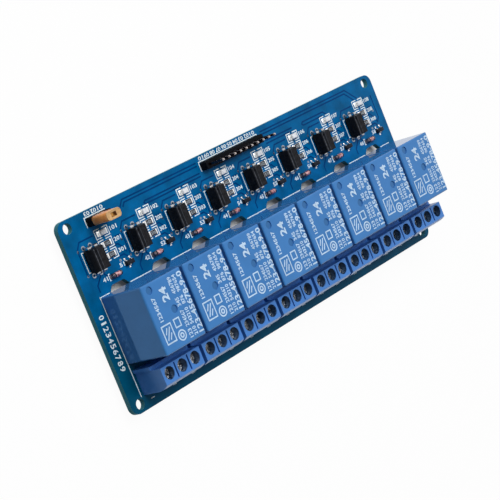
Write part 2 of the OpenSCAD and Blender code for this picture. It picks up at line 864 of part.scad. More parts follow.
// The clip is one strip folded over: a bridge with a leaf down each side of both pins.
module jumper_clip() {
    leaf_y = header_pin_w / 2 + clip_clearance;
    clip_l = cap[0] - 2 * cap_wall - 2 * clip_fit;
    color("#cdb06a") translate([cap_x, header_y, clip_top_z - clip_h])
        rotate([90, 0, 90]) linear_extrude(height = clip_l, center = true) {
            translate([-leaf_y - clip_t, clip_h - clip_t]) square([2 * (leaf_y + clip_t), clip_t]);
            for (s = [0, 1])
                translate([s * (2 * leaf_y + clip_t) - leaf_y - clip_t, 0]) square([clip_t, clip_h]);
        }
}

// ---- nodes ----

board();
solder_joints();
for (n = numbers) relay_case(n);
for (n = numbers) relay_base(n);
relay_pins();
for (n = numbers) terminal_housing(n);
terminal_contacts();
terminal_screws();
for (n = numbers) optocoupler(n);
optocoupler_leads();
status_leds();
led_resistors();
base_resistors();
flyback_diodes();
driver_transistors();
input_header_base();
input_header_pins();
supply_header_base();
supply_header_pins();
jumper_cap();
jumper_clip();
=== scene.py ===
import math

import bmesh
import bpy
from mathutils import Matrix, Vector


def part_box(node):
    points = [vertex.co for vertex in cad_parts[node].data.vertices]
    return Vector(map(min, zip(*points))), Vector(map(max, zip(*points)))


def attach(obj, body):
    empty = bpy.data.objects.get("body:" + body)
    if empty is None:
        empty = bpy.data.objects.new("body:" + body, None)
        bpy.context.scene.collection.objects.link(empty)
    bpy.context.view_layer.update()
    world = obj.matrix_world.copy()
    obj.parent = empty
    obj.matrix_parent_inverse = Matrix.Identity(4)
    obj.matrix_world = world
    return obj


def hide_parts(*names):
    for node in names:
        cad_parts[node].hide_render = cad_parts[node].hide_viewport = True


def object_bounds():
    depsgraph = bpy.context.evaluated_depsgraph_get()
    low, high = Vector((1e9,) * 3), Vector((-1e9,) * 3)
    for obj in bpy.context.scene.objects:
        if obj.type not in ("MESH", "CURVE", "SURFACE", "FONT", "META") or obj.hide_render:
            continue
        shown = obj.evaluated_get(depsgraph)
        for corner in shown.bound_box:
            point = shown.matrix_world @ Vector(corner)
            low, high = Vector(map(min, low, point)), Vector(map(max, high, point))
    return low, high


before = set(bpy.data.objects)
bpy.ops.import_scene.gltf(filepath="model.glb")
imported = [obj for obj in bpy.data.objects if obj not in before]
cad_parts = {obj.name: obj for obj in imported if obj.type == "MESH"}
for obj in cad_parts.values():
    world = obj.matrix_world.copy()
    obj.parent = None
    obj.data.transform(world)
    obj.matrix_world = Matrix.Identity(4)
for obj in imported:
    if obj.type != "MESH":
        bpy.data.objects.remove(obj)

bl_info = {
    "name": "Relay module board",
    "version": (1, 0, 0),
    "blender": (4, 5, 0),
    "location": "View3D > Sidebar > Relay board",
    "description": "Dresses the packed relay module board: finishes, print, copper and small parts",
    "category": "Object",
}

MM = 0.001
CAD_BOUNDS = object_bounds()
CHANNELS = range(1, 9)
WAYS = 3
HEADERS = {"input_header": 10, "supply_header": 3}  # how many pins each has
SAME_PLACE = 0.001 * MM  # corners closer than this become one
DIGIT_HEIGHT = 0.7  # of a digit, as a share of its type size


# ---- places, worked out from the frame ----


def middle(node):
    """Centre of a CAD node's box."""
    low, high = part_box(node)
    return (low + high) / 2


def extent(node):
    """Size of a CAD node's box."""
    low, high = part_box(node)
    return high - low


PITCH = middle("relay_case_2").x - middle("relay_case_1").x
ROW = (len(CHANNELS) - 1) * PITCH
BOARD_LOW, BOARD_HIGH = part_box("board")
TOP = BOARD_HIGH.z
UNDER = BOARD_LOW.z
CENTRE_1 = middle("relay_case_1").x
RELAY_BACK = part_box("relay_case_1")[1].y
RELAY_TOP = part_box("relay_case_1")[1].z
OPTO = middle("optocoupler_1")
SCREWS_LOW, SCREWS_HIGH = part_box("terminal_screws")
SCREW_R = 1.6 * MM
SCREW_1 = SCREWS_LOW.x + SCREW_R
SCREW_Y = (SCREWS_LOW.y + SCREWS_HIGH.y) / 2
WAY_PITCH = (SCREWS_HIGH.x - SCREW_R - SCREW_1 - ROW) / (WAYS - 1)
HEADER_PIN_W = 0.64 * MM


def first_of_row(node):
    """Centre and size of channel 1's part in a node that repeats it for every channel."""
    low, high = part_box(node)
    size = high - low
    size.x -= ROW
    return Vector((low.x + size.x / 2, (low.y + high.y) / 2, (low.z + high.z) / 2)), size


def header_pins(header):
    """Where a header's pins stand along the board."""
    node, count = f"{header}_pins", HEADERS[header]
    step = (extent(node).x - HEADER_PIN_W) / (count - 1)
    return [middle(node).x + (i - (count - 1) / 2) * step for i in range(count)]


# ---- what a user can change ----


class RelayBoardSizes(bpy.types.PropertyGroup):
    """Sizes of what is printed, etched and soldered on the board."""

    line_width: bpy.props.FloatProperty(
        name="Line width", description="Width of the printed lines",
        default=0.28 * MM, unit="LENGTH", precision=5)
    print_height: bpy.props.FloatProperty(
        name="Print height", description="Thickness of the printed lines and numbers",
        default=0.03 * MM, unit="LENGTH", precision=5)
    track_width: bpy.props.FloatProperty(
        name="Track gap width", description="Width of the gaps between the copper tracks",
        default=0.45 * MM, unit="LENGTH", precision=5)
    track_height: bpy.props.FloatProperty(
        name="Track height", description="Height of the copper tracks under the solder mask",
        default=0.012 * MM, unit="LENGTH", precision=5)
    pad_rim: bpy.props.FloatProperty(
        name="Pad rim", description="Width of the tinned ring round a drilled hole",
        default=0.32 * MM, unit="LENGTH", precision=5)
    pad_height: bpy.props.FloatProperty(
        name="Pad height", description="Height of the tinned pads above the solder mask",
        default=0.035 * MM, unit="LENGTH", precision=5)
    number_height: bpy.props.FloatProperty(
        name="Number height", description="Height of the numbers beside the small parts",
        default=1.15 * MM, unit="LENGTH", precision=5)


class RelayBoardColours(bpy.types.PropertyGroup):
    """Colours of the moulded, printed and metal parts, as they look under plain white light, except
    the solder mask's front and the jumper cap's top, which hold painted shade and a painted
    highlight.
    """

    mask: bpy.props.FloatVectorProperty(
        name="Solder mask", description="Colour of the solder mask behind the relays",
        subtype="COLOR_GAMMA", default=(0.0, 0.355, 0.56), min=0, max=1)
    # painted shade: the darker, greener solder mask at the front of the board
    mask_front_shade: bpy.props.FloatVectorProperty(
        name="Solder mask, front", description="Colour of the solder mask at the front",
        subtype="COLOR_GAMMA", default=(0.0, 0.29, 0.40), min=0, max=1)
    mask_gap: bpy.props.FloatVectorProperty(
        name="Solder mask gaps", description="Colour of the solder mask between the tracks",
        subtype="COLOR_GAMMA", default=(0.0, 0.22, 0.43), min=0, max=1)
    laminate: bpy.props.FloatVectorProperty(
        name="Board edge", description="Colour of the glass-epoxy board at its edges",
        subtype="COLOR_GAMMA", default=(0.30, 0.55, 0.60), min=0, max=1)
    relay: bpy.props.FloatVectorProperty(
        name="Relays", description="Colour of the relays' cases",
        subtype="COLOR_GAMMA", default=(0.27, 0.49, 0.74), min=0, max=1)
    terminal: bpy.props.FloatVectorProperty(
        name="Terminals", description="Colour of the screw terminals' housings",
        subtype="COLOR_GAMMA", default=(0.27, 0.495, 0.79), min=0, max=1)
    ink: bpy.props.FloatVectorProperty(
        name="Ink", description="Colour of the print on the board",
        subtype="COLOR_GAMMA", default=(0.90, 0.95, 0.98), min=0, max=1)
    black: bpy.props.FloatVectorProperty(
        name="Black mouldings", description="Colour of the optocouplers, headers and transistors",
        subtype="COLOR_GAMMA", default=(0.07, 0.08, 0.10), min=0, max=1)
    cap: bpy.props.FloatVectorProperty(
        name="Jumper cap", description="Colour of the jumper cap's sides",
        subtype="COLOR_GAMMA", default=(1.0, 0.60, 0.28), min=0, max=1)
    # painted highlight: the jumper cap's top is painted lighter than its sides
    cap_lit_top: bpy.props.FloatVectorProperty(
        name="Jumper cap, top", description="Colour of the jumper cap's worn top",
        subtype="COLOR_GAMMA", default=(0.82, 0.65, 0.44), min=0, max=1)


# how dyed plastic and solder mask tint what they mirror, red, green and blue
MASK_SHEEN = (0.03, 0.40, 1.0)
RELAY_SHEEN = (0.05, 0.42, 1.0)
TERMINAL_SHEEN = (0.35, 0.62, 1.0)
NOISE_RANGE = (0.3, 0.7)  # between which nearly all of a noise lies
GLOSS_SPREAD = 0.15

# ---- finishes ----


def linear(colour):
    """The scene-linear value of a display colour."""
    return tuple(c / 12.92 if c <= 0.04045 else ((c + 0.055) / 1.055) ** 2.4 for c in colour)


def shade(colour, factor):
    """A darker or lighter shade of a display colour."""
    return tuple(min(1.0, c * factor) for c in colour)


def grey(value):
    return (value, value, value)


def add_node(tree, kind, **settings):
    node = tree.nodes.new(kind)
    for setting, value in settings.items():
        setattr(node, setting, value)
    return node


def feed(tree, socket, value):
    """Gives an input a number or colour, or links another node's output to it."""
    if isinstance(value, bpy.types.NodeSocket):
        tree.links.new(value, socket)
    else:
        socket.default_value = value


def calculate(tree, operation, *values):
    """One sum on numbers and other nodes' outputs."""
    node = add_node(tree, "ShaderNodeMath", operation=operation)
    for socket, value in zip(node.inputs, values):
        feed(tree, socket, value)
    return node.outputs["Value"]


def above(tree, value, limit):
    """One where a value is past a limit, and zero elsewhere."""
    return calculate(tree, "GREATER_THAN", value, limit)


def below(tree, value, limit):
    """One where a value is short of a limit, and zero elsewhere."""
    return calculate(tree, "LESS_THAN", value, limit)


def less(tree, value, amount):
    return calculate(tree, "SUBTRACT", value, amount)


def both(tree, first, second):
    return calculate(tree, "MULTIPLY", first, second)


def either(tree, first, second):
    return calculate(tree, "MAXIMUM", first, second)


def wrapped(tree, value, low, high):
    """A value brought between two limits by whole steps, for a pattern that repeats."""
    return calculate(tree, "WRAP", value, high, low)


def spread(tree, value, low, high, to_low, to_high):
    """Maps a value from one range to another, and holds it at the ends."""
    node = add_node(tree, "ShaderNodeMapRange")
    limits = {"From Min": low, "From Max": high, "To Min": to_low, "To Max": to_high}
    for socket, limit in {"Value": value, **limits}.items():
        feed(tree, node.inputs[socket], limit)
    return node.outputs["Result"]


def within(tree, value, inner, outer):
    """One up to the inner distance from zero, fading to zero at the outer one."""
    return spread(tree, calculate(tree, "ABSOLUTE", value), inner, outer, 1, 0)


def axes_of(tree, vector):
    """The three parts of a vector."""
    parts = add_node(tree, "ShaderNodeSeparateXYZ")
    feed(tree, parts.inputs["Vector"], vector)
    return parts.outputs


def faces_up(tree):
    """The upward part of the true surface normal."""
    return axes_of(tree, add_node(tree, "ShaderNodeNewGeometry").outputs["True Normal"])["Z"]


def add_noise(tree, place, grain, detail=3.0):
    """Noise on the object's own coordinates, with a grain size in metres."""
    noise = add_node(tree, "ShaderNodeTexNoise")
    for socket, value in (("Scale", 1 / grain), ("Detail", detail), ("Vector", place)):
        feed(tree, noise.inputs[socket], value)
    return noise.outputs["Fac"]


def blend_colours(tree, factor, low, high):
    """A colour that runs from low to high with the factor. Each is a display colour or a socket."""
    mix = add_node(tree, "ShaderNodeMix", data_type="RGBA")
    feed(tree, mix.inputs["Factor"], factor)
    for socket, colour in ((mix.inputs[6], low), (mix.inputs[7], high)):
        is_socket = isinstance(colour, bpy.types.NodeSocket)
        feed(tree, socket, colour if is_socket else (*linear(colour), 1))
    return mix.outputs[2]


def blend_shaders(tree, factor, low, high):
    mix = add_node(tree, "ShaderNodeMixShader")
    for socket, value in zip(mix.inputs, (factor, low, high)):
        feed(tree, socket, value)
    return mix.outputs["Shader"]


def drifting(tree, place, colour, depth, grain):
    """A colour that drifts by a share of itself over its grain."""
    cloud = spread(tree, add_noise(tree, place, grain), *NOISE_RANGE, 0, 1)
    return blend_colours(tree, cloud, shade(colour, 1 - depth), shade(colour, 1 + depth))


def begin_finish(name):
    """A new material with its node tree, its surface shader and the object's coordinates."""
    material = bpy.data.materials.new(name)
    material.use_nodes = True
    tree = material.node_tree
    place = add_node(tree, "ShaderNodeTexCoord").outputs["Object"]
    return material, tree, tree.nodes["Principled BSDF"], place


def add_relief(tree, surface, height, depth):
    """Lets a pattern stand out of the surface by its depth."""
    bump = add_node(tree, "ShaderNodeBump")
    bump.inputs["Distance"].default_value = depth
    feed(tree, bump.inputs["Height"], height)
    feed(tree, surface.inputs["Normal"], bump.outputs["Normal"])


def set_surface(tree, surface, place, colour, grain, roughness, relief, specular, tint=(1, 1, 1)):
    """Colour, with uneven gloss and a fine relief that share a grain."""
    feed(tree, surface.inputs["Base Color"], colour)
    surface.inputs["Specular Tint"].default_value = (*tint, 1)
    surface.inputs["Specular IOR Level"].default_value = specular
    fine = add_noise(tree, place, grain, detail=4.0)
    low, high = max(0.02, roughness * (1 - GLOSS_SPREAD)), min(1, roughness * (1 + GLOSS_SPREAD))
    feed(tree, surface.inputs["Roughness"], spread(tree, fine, *NOISE_RANGE, low, high))
    add_relief(tree, surface, fine, relief)


def finish(
        name, colour, depth, grain, roughness, relief=1e-6, metallic=0.0, specular=0.5,
        tint=(1, 1, 1)):
    """A moulded, printed or metal finish: a drifting colour, uneven gloss and a fine relief."""
    material, tree, surface, place = begin_finish(name)
    surface.inputs["Metallic"].default_value = metallic
    skin = drifting(tree, place, colour, depth, grain)
    set_surface(tree, surface, place, skin, grain / 6, roughness, relief, specular, tint)
    return material


def board_finish(colours):
    """Solder mask on the two faces, painted darker and greener towards the front as painted shade,
    and bare laminate on every cut edge.
    """
    green_y, blue_y = -13 * MM, 9 * MM
    layer = 1.2 * MM
    material, tree, surface, place = begin_finish("solder_mask")
    # painted shade: the mask darkens and turns greener towards the front, where the terminals'
    # shadow falls
    along = spread(tree, axes_of(tree, place)["Y"], green_y, blue_y, 0, 1)
    mask = blend_colours(
        tree, along, drifting(tree, place, colours.mask_front_shade, 0.10, 6 * MM),
        drifting(tree, place, colours.mask, 0.13, 5 * MM))
    layers = add_node(tree, "ShaderNodeTexWave", wave_type="BANDS", bands_direction="Z")
    for socket, value in (("Scale", 1 / layer), ("Distortion", 1.5), ("Vector", place)):
        feed(tree, layers.inputs[socket], value)
    edge = blend_colours(
        tree, layers.outputs["Fac"], shade(colours.laminate, 0.88), shade(colours.laminate, 1.08))
    is_face = above(tree, calculate(tree, "ABSOLUTE", faces_up(tree)), 0.5)
    feed(tree, surface.inputs["Base Color"], blend_colours(tree, is_face, edge, mask))
    feed(tree, surface.inputs["Roughness"], spread(tree, is_face, 0, 1, 0.75, 0.4))
    surface.inputs["Specular IOR Level"].default_value = 0.25
    surface.inputs["Specular Tint"].default_value = (*MASK_SHEEN, 1)
    add_relief(tree, surface, add_noise(tree, place, 0.8 * MM, detail=1.0), 0.001 * MM)
    return material


def dress(names, material):
    """Gives a finish to CAD nodes that keep their shape."""
    for name in names:
        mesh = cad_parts[name].data
        mesh.materials.clear()
        mesh.materials.append(material)


# ---- modelling steps ----


def edit():
    bpy.ops.object.mode_set(mode="EDIT")


def end_edit():
    bpy.ops.object.mode_set(mode="OBJECT")


def deselect():
    if bpy.context.mode != "OBJECT":
        end_edit()
    bpy.ops.object.select_all(action="DESELECT")


def pick(kind, test):
    """Selects the faces, edges or vertices in edit mode that pass a test."""
    bpy.ops.mesh.select_mode(type=kind)
    bpy.ops.mesh.select_all(action="DESELECT")
    mesh = bmesh.from_edit_mesh(bpy.context.edit_object.data)
    items = {"FACE": mesh.faces, "EDGE": mesh.edges, "VERT": mesh.verts}[kind]
    for item in [i for i in items if test(i)]:
        item.select_set(True)
    bmesh.update_edit_mesh(bpy.context.edit_object.data)


def extrude(x, y, z):
    """Draws what is selected in edit mode out by a step."""
    bpy.ops.mesh.extrude_region_move(TRANSFORM_OT_translate={"value": (x, y, z)})


def apply_modifier(kind, **settings):
    """Adds a modifier to the active piece, sets it and applies it."""
    bpy.ops.object.modifier_add(type=kind)
    modifier = bpy.context.object.modifiers[-1]
    for setting, value in settings.items():
        setattr(modifier, setting, value)
    bpy.ops.object.modifier_apply(modifier=modifier.name)


def apply_place():
    bpy.ops.object.transform_apply(location=True, rotation=True, scale=True)


def smooth(degrees):
    """Smooths the active piece's shading over edges that turn by less than an angle."""
    bpy.ops.object.shade_smooth_by_angle(angle=math.radians(degrees))


def round_edges(width, segments=2, past=30):
    """Rounds the active piece's edges that turn by more than an angle in degrees."""
    apply_modifier(
        "BEVEL", width=width, segments=segments, limit_method="ANGLE",
        angle_limit=math.radians(past))


def add_block(centre, size, bevel=0.0, segments=2):
    """A block at its size and place, with its edges rounded."""
    deselect()
    bpy.ops.mesh.primitive_cube_add(size=1, location=centre, scale=size)
    apply_place()
    if bevel:
        round_edges(bevel, segments)
        smooth(40)
    return bpy.context.object


def add_bar_along(centre, radius, length, bevel):
    """A round bar that lies along the board, with its two rims rounded."""
    deselect()
    bpy.ops.mesh.primitive_cylinder_add(
        vertices=32, radius=radius, depth=length, location=centre, rotation=(0, math.pi / 2, 0))
    apply_place()
    round_edges(bevel, 3, past=60)
    smooth(40)
    return bpy.context.object


def join(pieces):
    """Joins pieces into the first of them."""
    deselect()
    for piece in pieces:
        piece.select_set(True)
    bpy.context.view_layer.objects.active = pieces[0]
    bpy.ops.object.join()
    return pieces[0]


def start_drawing():
    """An empty mesh in edit mode, to draw flat shapes in."""
    deselect()
    bpy.ops.mesh.primitive_plane_add(size=MM)
    edit()
    bpy.ops.mesh.delete(type="VERT")


def draw_lines(paths, width, low, height):
    """Draws paths point by point, raises them into walls and thickens the walls to their width."""
    start_drawing()
    for path in paths:
        bpy.ops.mesh.select_all(action="DESELECT")
        bpy.ops.mesh.primitive_plane_add(size=0.1 * MM, location=(*path[0], low))
        bpy.ops.mesh.merge(type="CENTER")
        for a, b in zip(path, path[1:]):
            extrude(b[0] - a[0], b[1] - a[1], 0)
    bpy.ops.mesh.select_all(action="SELECT")
    bpy.ops.mesh.remove_doubles(threshold=SAME_PLACE)
    extrude(0, 0, height)
    end_edit()
    apply_modifier("SOLIDIFY", thickness=width, offset=0, use_even_offset=True)
    return bpy.context.object


def draw_rings(places, outer, inner, low, height, vertices=20):
    """Draws flat rings and gives them their thickness."""
    start_drawing()
    for place in places:
        bpy.ops.mesh.select_all(action="DESELECT")
        bpy.ops.mesh.primitive_circle_add(
            vertices=vertices, radius=outer, fill_type="NGON", location=(*place, low))
        bpy.ops.mesh.inset(thickness=outer - inner)
        bpy.ops.mesh.delete(type="FACE")
    end_edit()
    apply_modifier("SOLIDIFY", thickness=height, offset=1)
    return bpy.context.object


def write_number(text, centre, height, length, turn, thickness, weight):
    """A printed number, centred on a place, drawn as tall and as long as given."""
    deselect()
    bpy.ops.object.text_add()
    label = bpy.context.object.data
    label.body = text
    label.size = height / DIGIT_HEIGHT
    label.extrude = thickness / 2
    label.offset = weight
    label.resolution_u = 2
    bpy.ops.object.convert(target="MESH")
    piece = bpy.context.object
    edit()
    bpy.ops.mesh.select_all(action="SELECT")
    bpy.ops.mesh.remove_doubles(threshold=SAME_PLACE)
    bpy.ops.mesh.normals_make_consistent(inside=False)
    end_edit()
    xs = [v.co.x for v in piece.data.vertices]
    ys = [v.co.y for v in piece.data.vertices]
    piece.data.transform(
        Matrix.Translation((-(min(xs) + max(xs)) / 2, -(min(ys) + max(ys)) / 2, 0)))
    piece.scale = (length / (max(xs) - min(xs)), height / (max(ys) - min(ys)), 1)
    piece.rotation_euler = (0, 0, turn)
    piece.location = centre
    apply_place()
    return piece


def settle(piece, name, material, replaced=()):
    """Names a finished piece, gives it its finish and lets it ride on the board."""
    deselect()
    piece.name = piece.data.name = name
    piece.data.materials.clear()
    piece.data.materials.append(material)
    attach(piece, "root")
    if replaced:
        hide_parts(*replaced)
    return piece


def repeat(piece, stem, material, replaced=()):
    """Copies channel 1's piece to the other channels, each with its own mesh, and settles all."""
    for n in CHANNELS[1:]:
        copy = piece.copy()
        copy.data = piece.data.copy()
        copy.data.transform(Matrix.Translation(((n - 1) * PITCH, 0, 0)))
        bpy.context.scene.collection.objects.link(copy)
        settle(copy, f"{stem}_{n}", material, replaced)
    settle(piece, f"{stem}_1", material, replaced)


def from_centre_1(points):
    """Points given in millimetres from channel 1's centre line and the relays' back faces."""
    return [(CENTRE_1 + x * MM, RELAY_BACK + y * MM) for x, y in points]


def from_rear_left(points):
    """Points given in millimetres from the board's left edge and inwards from its back edge."""
    return [(BOARD_LOW.x + x * MM, BOARD_HIGH.y - y * MM) for x, y in points]


# ---- the board ----


class RELAYBOARD_OT_board(bpy.types.Operator):
    """Finish the circuit board with solder mask on its faces and bare laminate at its edges"""

    bl_idname = "relayboard.board"
    bl_label = "Board"

    def execute(self, context):
        dress(["board"], board_finish(context.scene.relay_board_colours))
        return {"FINISHED"}


# gaps between the tracks: by each channel, along the back edge, and under each channel
CHANNEL_GAPS = (
    [(-8.7, 6.2), (-8.7, 13.6), (-7.2, 15.4), (-1.9, 15.4)],
    [(-3.2, 6.3), (-3.2, 4.9), (-2.4, 4.2)],
    [(4.2, 11.9), (4.9, 12.6), (7.0, 12.6)],
    [(3.6, 7.4), (5.6, 7.4), (7.2, 5.9)],
    [(2.9, 10.6), (5.0, 10.6), (6.9, 8.4), (6.9, 7.6)],
    [(-6.9, 1.2), (-6.9, 3.0), (-4.6, 5.2)],
)
REAR_GAPS = (
    [(22.8, 3.4), (24.4, 1.6), (55, 1.6)],
    [(23.9, 3.6), (24.9, 2.5), (55, 2.5)],
    [(55, 4.6), (32, 4.6), (31.5, 5.05), (32, 5.5), (55, 5.5)],
    [(83.5, 1.6), (125.2, 1.6), (129.4, 5.5)],
    [(83.5, 2.5), (124.5, 2.5), (127.7, 5.5)],
    [(113.4, 5.6), (112.2, 4.5), (102.2, 4.5), (101.7, 5.0), (102.2, 5.5), (111.6, 5.5)],
    [(84.5, 4.6), (97, 4.6)],
    [(84.5, 5.5), (96, 5.5)],
    [(135.8, 6.4), (135.8, 13.5), (134.4, 15)],
)
CHANNEL_GAPS_BELOW = (
    [(-6.0, -15.4), (-6.0, -9.8), (-1.6, -6.9), (-1.6, -3.0)],
    [(6.0, -15.4), (6.0, -9.8), (1.6, -6.9), (1.6, -3.0)],
    [(-4.2, -22.8), (-4.2, -18.2), (-3.4, -17.2)],
    [(3.6, -22.8), (3.6, -18.2), (2.8, -17.2)],
)


class RELAYBOARD_OT_tracks(bpy.types.Operator):
    """Draw the gaps between the copper tracks under the solder mask, on both faces of the board"""

    bl_idname = "relayboard.tracks"
    bl_label = "Tracks"

    def execute(self, context):
        sizes, colours = context.scene.relay_board_sizes, context.scene.relay_board_colours
        gap = finish(
            "mask_gap", colours.mask_gap, 0.08, 4 * MM, 0.4, specular=0.15, tint=MASK_SHEEN)
        width, height = sizes.track_width, sizes.track_height
        under = UNDER - height

        paths = [from_centre_1(path) for path in CHANNEL_GAPS]
        repeat(draw_lines(paths, width, TOP, height), "track_gap", gap)

        paths = [from_rear_left(path) for path in REAR_GAPS]
        settle(draw_lines(paths, width, TOP, height), "track_gap_rear", gap)

        margin, first, step = 8 * MM, 2.8 * MM, 0.8 * MM
        paths = []
        for k in range(3):
            y = RELAY_BACK + first + k * step
            paths.append([(BOARD_LOW.x + margin, y), (BOARD_HIGH.x - margin, y)])
        settle(draw_lines(paths, width / 2, under, height), "track_gap_under", gap)

        paths = [from_centre_1(path) for path in CHANNEL_GAPS_BELOW]
        piece = draw_lines(paths, 1.5 * width, under, height)
        repeat(piece, "track_gap_below", gap)
        return {"FINISHED"}


def pin_places():
    """Groups of drilled holes, each with the holes' radius and their places on the board."""
    common_inset, coil_step = 1.9 * MM, 2.0 * MM
    contact_w, contact_half_t, lead_t = 1.0 * MM, 0.2 * MM, 0.25 * MM
    common_y = RELAY_BACK - common_inset
    contact_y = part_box("relay_pins")[0].y + contact_half_t
    half_side = (extent("relay_pins").x - ROW - contact_w) / 2
    lead_x, lead_y = 1.27 * MM, (extent("optocoupler_leads").y - lead_t) / 2
    shifts = [(n - 1) * PITCH for n in CHANNELS]
    centres = [CENTRE_1 + shift for shift in shifts]
    heavy = [(x, common_y) for x in centres]
    heavy += [(x + s * half_side, contact_y) for x in centres for s in (-1, 1)]
    coil = [(x + s * half_side, common_y - coil_step) for x in centres for s in (-1, 1)]
    ways = [(SCREW_1 + shift + w * WAY_PITCH, SCREW_Y) for shift in shifts for w in range(WAYS)]
    leads = [
        (OPTO.x + shift + sx * lead_x, OPTO.y + sy * lead_y)
        for shift in shifts for sx in (-1, 1) for sy in (-1, 1)
    ]
    header_y = middle("input_header_pins").y
    headers = [(x, header_y) for header in HEADERS for x in header_pins(header)]
    return {
        "heavy": (0.64 * MM, heavy), "coil": (0.53 * MM, coil), "ways": (0.6 * MM, ways),
        "leads": (0.38 * MM, leads), "headers": (0.56 * MM, headers),
    }


class RELAYBOARD_OT_pads(bpy.types.Operator):
    """Add the tinned ring round every drilled hole on both faces, and the small vias"""

    bl_idname = "relayboard.pads"
    bl_label = "Pads and vias"

    def execute(self, context):
        sizes = context.scene.relay_board_sizes
        tin = finish(
            "pad_tin", (0.62, 0.64, 0.67), 0.08, 0.8 * MM, 0.25, 0.004 * MM, metallic=1.0)
        wide, strong = 1.6, ("heavy", "ways", "coil")
        rims = []
        for name, (radius, places) in pin_places().items():
            outer = radius + sizes.pad_rim * (wide if name in strong else 1)
            for low in (TOP, UNDER - sizes.pad_height):
                rims.append(draw_rings(places, outer, radius, low, sizes.pad_height))
        settle(join(rims), "pad_rings", tin)

        places = from_centre_1([(-8.6, 6.4), (-8.7, 13.2), (-1.9, 6.0), (3.7, 6.3), (6.9, 11.2)])
        via_r, via_hole_r, via_height = 0.36 * MM, 0.17 * MM, sizes.track_height * 1.5
        vias = draw_rings(places, via_r, via_hole_r, TOP, via_height, vertices=16)
        repeat(vias, "vias", tin)
        return {"FINISHED"}


def bracket(open_x, closed_x, low_y, high_y):
    """Three sides of a rectangle, without the side at its open end."""
    return [(open_x, low_y), (closed_x, low_y), (closed_x, high_y), (open_x, high_y)]


class RELAYBOARD_OT_silkscreen(bpy.types.Operator):
    """Print the white lines: the frame round the relays and an outline round each small part"""

    bl_idname = "relayboard.silkscreen"
    bl_label = "Printed lines"

    def execute(self, context):
        sizes, colours = context.scene.relay_board_sizes, context.scene.relay_board_colours
        ink = finish("print_ink", colours.ink, 0.05, 1.5 * MM, 0.6, 0.002 * MM)
        width, height = sizes.line_width, sizes.print_height

        half_w, half_d, gap = 2.45 * MM, 1.25 * MM, 0.45 * MM
        channel = []
        for node in ("status_leds", "led_resistors", "base_resistors"):
            part, _ = first_of_row(node)
            for s in (-1, 1):
                channel.append(bracket(
                    part.x + s * gap, part.x + s * half_w, part.y - half_d, part.y + half_d))
        opto_x, tail = OPTO.x - 2.52 * MM, 0.8 * MM
        channel.append(bracket(opto_x + tail, opto_x, OPTO.y - 2.7 * MM, OPTO.y + 2.8 * MM))
        diode, diode_size = first_of_row("flyback_diodes")
        diode_x, tail, half_d = diode.x - diode_size.x / 2 - 0.35 * MM, 0.45 * MM, 0.85 * MM
        channel.append(bracket(diode_x + tail, diode_x, diode.y - half_d, diode.y + half_d))
        channel.append(from_centre_1([(4.0, 0.0), (8.4, 0.0)]))
        channel.append(from_centre_1([(-7.9, 0.0), (-4.1, 0.0)]))
        repeat(draw_lines(channel, width, TOP, height), "print_channel", ink)

        left_x, front_y = BOARD_LOW.x + 4.6 * MM, BOARD_LOW.y + 3.8 * MM
        frame_lines = [[(left_x, RELAY_BACK), (left_x, front_y)]]
        tick_y, tick, first_tick, tick_step = BOARD_LOW.y + 2.1 * MM, 0.7 * MM, 4.1 * MM, 8.85 * MM
        for n in CHANNELS:
            first = CENTRE_1 + (n - 1) * PITCH - first_tick
            for x in (first, first + tick_step):
                frame_lines.append([(x - tick, tick_y), (x + tick, tick_y)])
        margin = 0.2 * MM
        for header in HEADERS:
            low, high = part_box(f"{header}_base")
            left, right, back = low.x - margin, high.x + margin, high.y + margin
            outline = [(left, low.y), (left, back), (right, back)]
            if header == "input_header":
                outline.append((right, low.y))
            frame_lines.append(outline)
        settle(draw_lines(frame_lines, width, TOP, height), "print_frame", ink)
        return {"FINISHED"}


class RELAYBOARD_OT_numbers(bpy.types.Operator):
    """Print plain numbers beside the small parts, the header pins and along the left edge"""

    bl_idname = "relayboard.numbers"
    bl_label = "Printed numbers"

    def execute(self, context):
        sizes, colours = context.scene.relay_board_sizes, context.scene.relay_board_colours
        ink = finish("number_ink", colours.ink, 0.05, 1.5 * MM, 0.6, 0.002 * MM)
        tall, thick, bold = sizes.number_height, sizes.print_height, 0.035 * MM
        z = TOP + thick / 2
        rows = [
            first_of_row(node)[0] for node in ("status_leds", "led_resistors", "base_resistors")]
        diode, _ = first_of_row("flyback_diodes")
        three_digits, two_digits = 2.6 * MM, 1.85 * MM
        beside_chip, beside_diode = 4.35 * MM, 3.6 * MM
        transistor_x, transistor_y = from_centre_1([(3.65, 5.1)])[0]
        for n in CHANNELS:
            shift = Vector(((n - 1) * PITCH, 0, 0))
            spots = [
                (str(100 * (k + 1) + n), row.x + beside_chip, row.y, three_digits)
                for k, row in enumerate(rows)
            ]
            spots.append((str(40 + n), diode.x - beside_diode, diode.y, two_digits))
            spots.append((str(50 + n), transistor_x, transistor_y, two_digits))
            labels = [
                write_number(text, Vector((x, y, z)) + shift, tall, length, 0, thick, bold)
                for text, x, y, length in spots
            ]
            settle(join(labels), f"numbers_{n}", ink)

        back, pin_number = BOARD_HIGH.y - 0.88 * MM, 2.05 * MM
        labels = []
        for header, count in HEADERS.items():
            for i, x in enumerate(header_pins(header)):
                labels.append(write_number(
                    f"{count - i:02d}", (x, back, z), tall, pin_number, math.pi, thick, bold))
        side_x, first_y, step, side_tall = BOARD_LOW.x + 2.4 * MM, 27.3, 1.62, 1.85 * MM
        for k, text in enumerate("0123456789"):
            length = (0.6 if text == "1" else 1.25) * MM
            y = BOARD_LOW.y + (first_y - step * k) * MM
            labels.append(write_number(
                text, (side_x, y, z), side_tall, length, -math.pi / 2, thick, 0.05 * MM))
        settle(join(labels), "numbers_rear", ink)
        return {"FINISHED"}


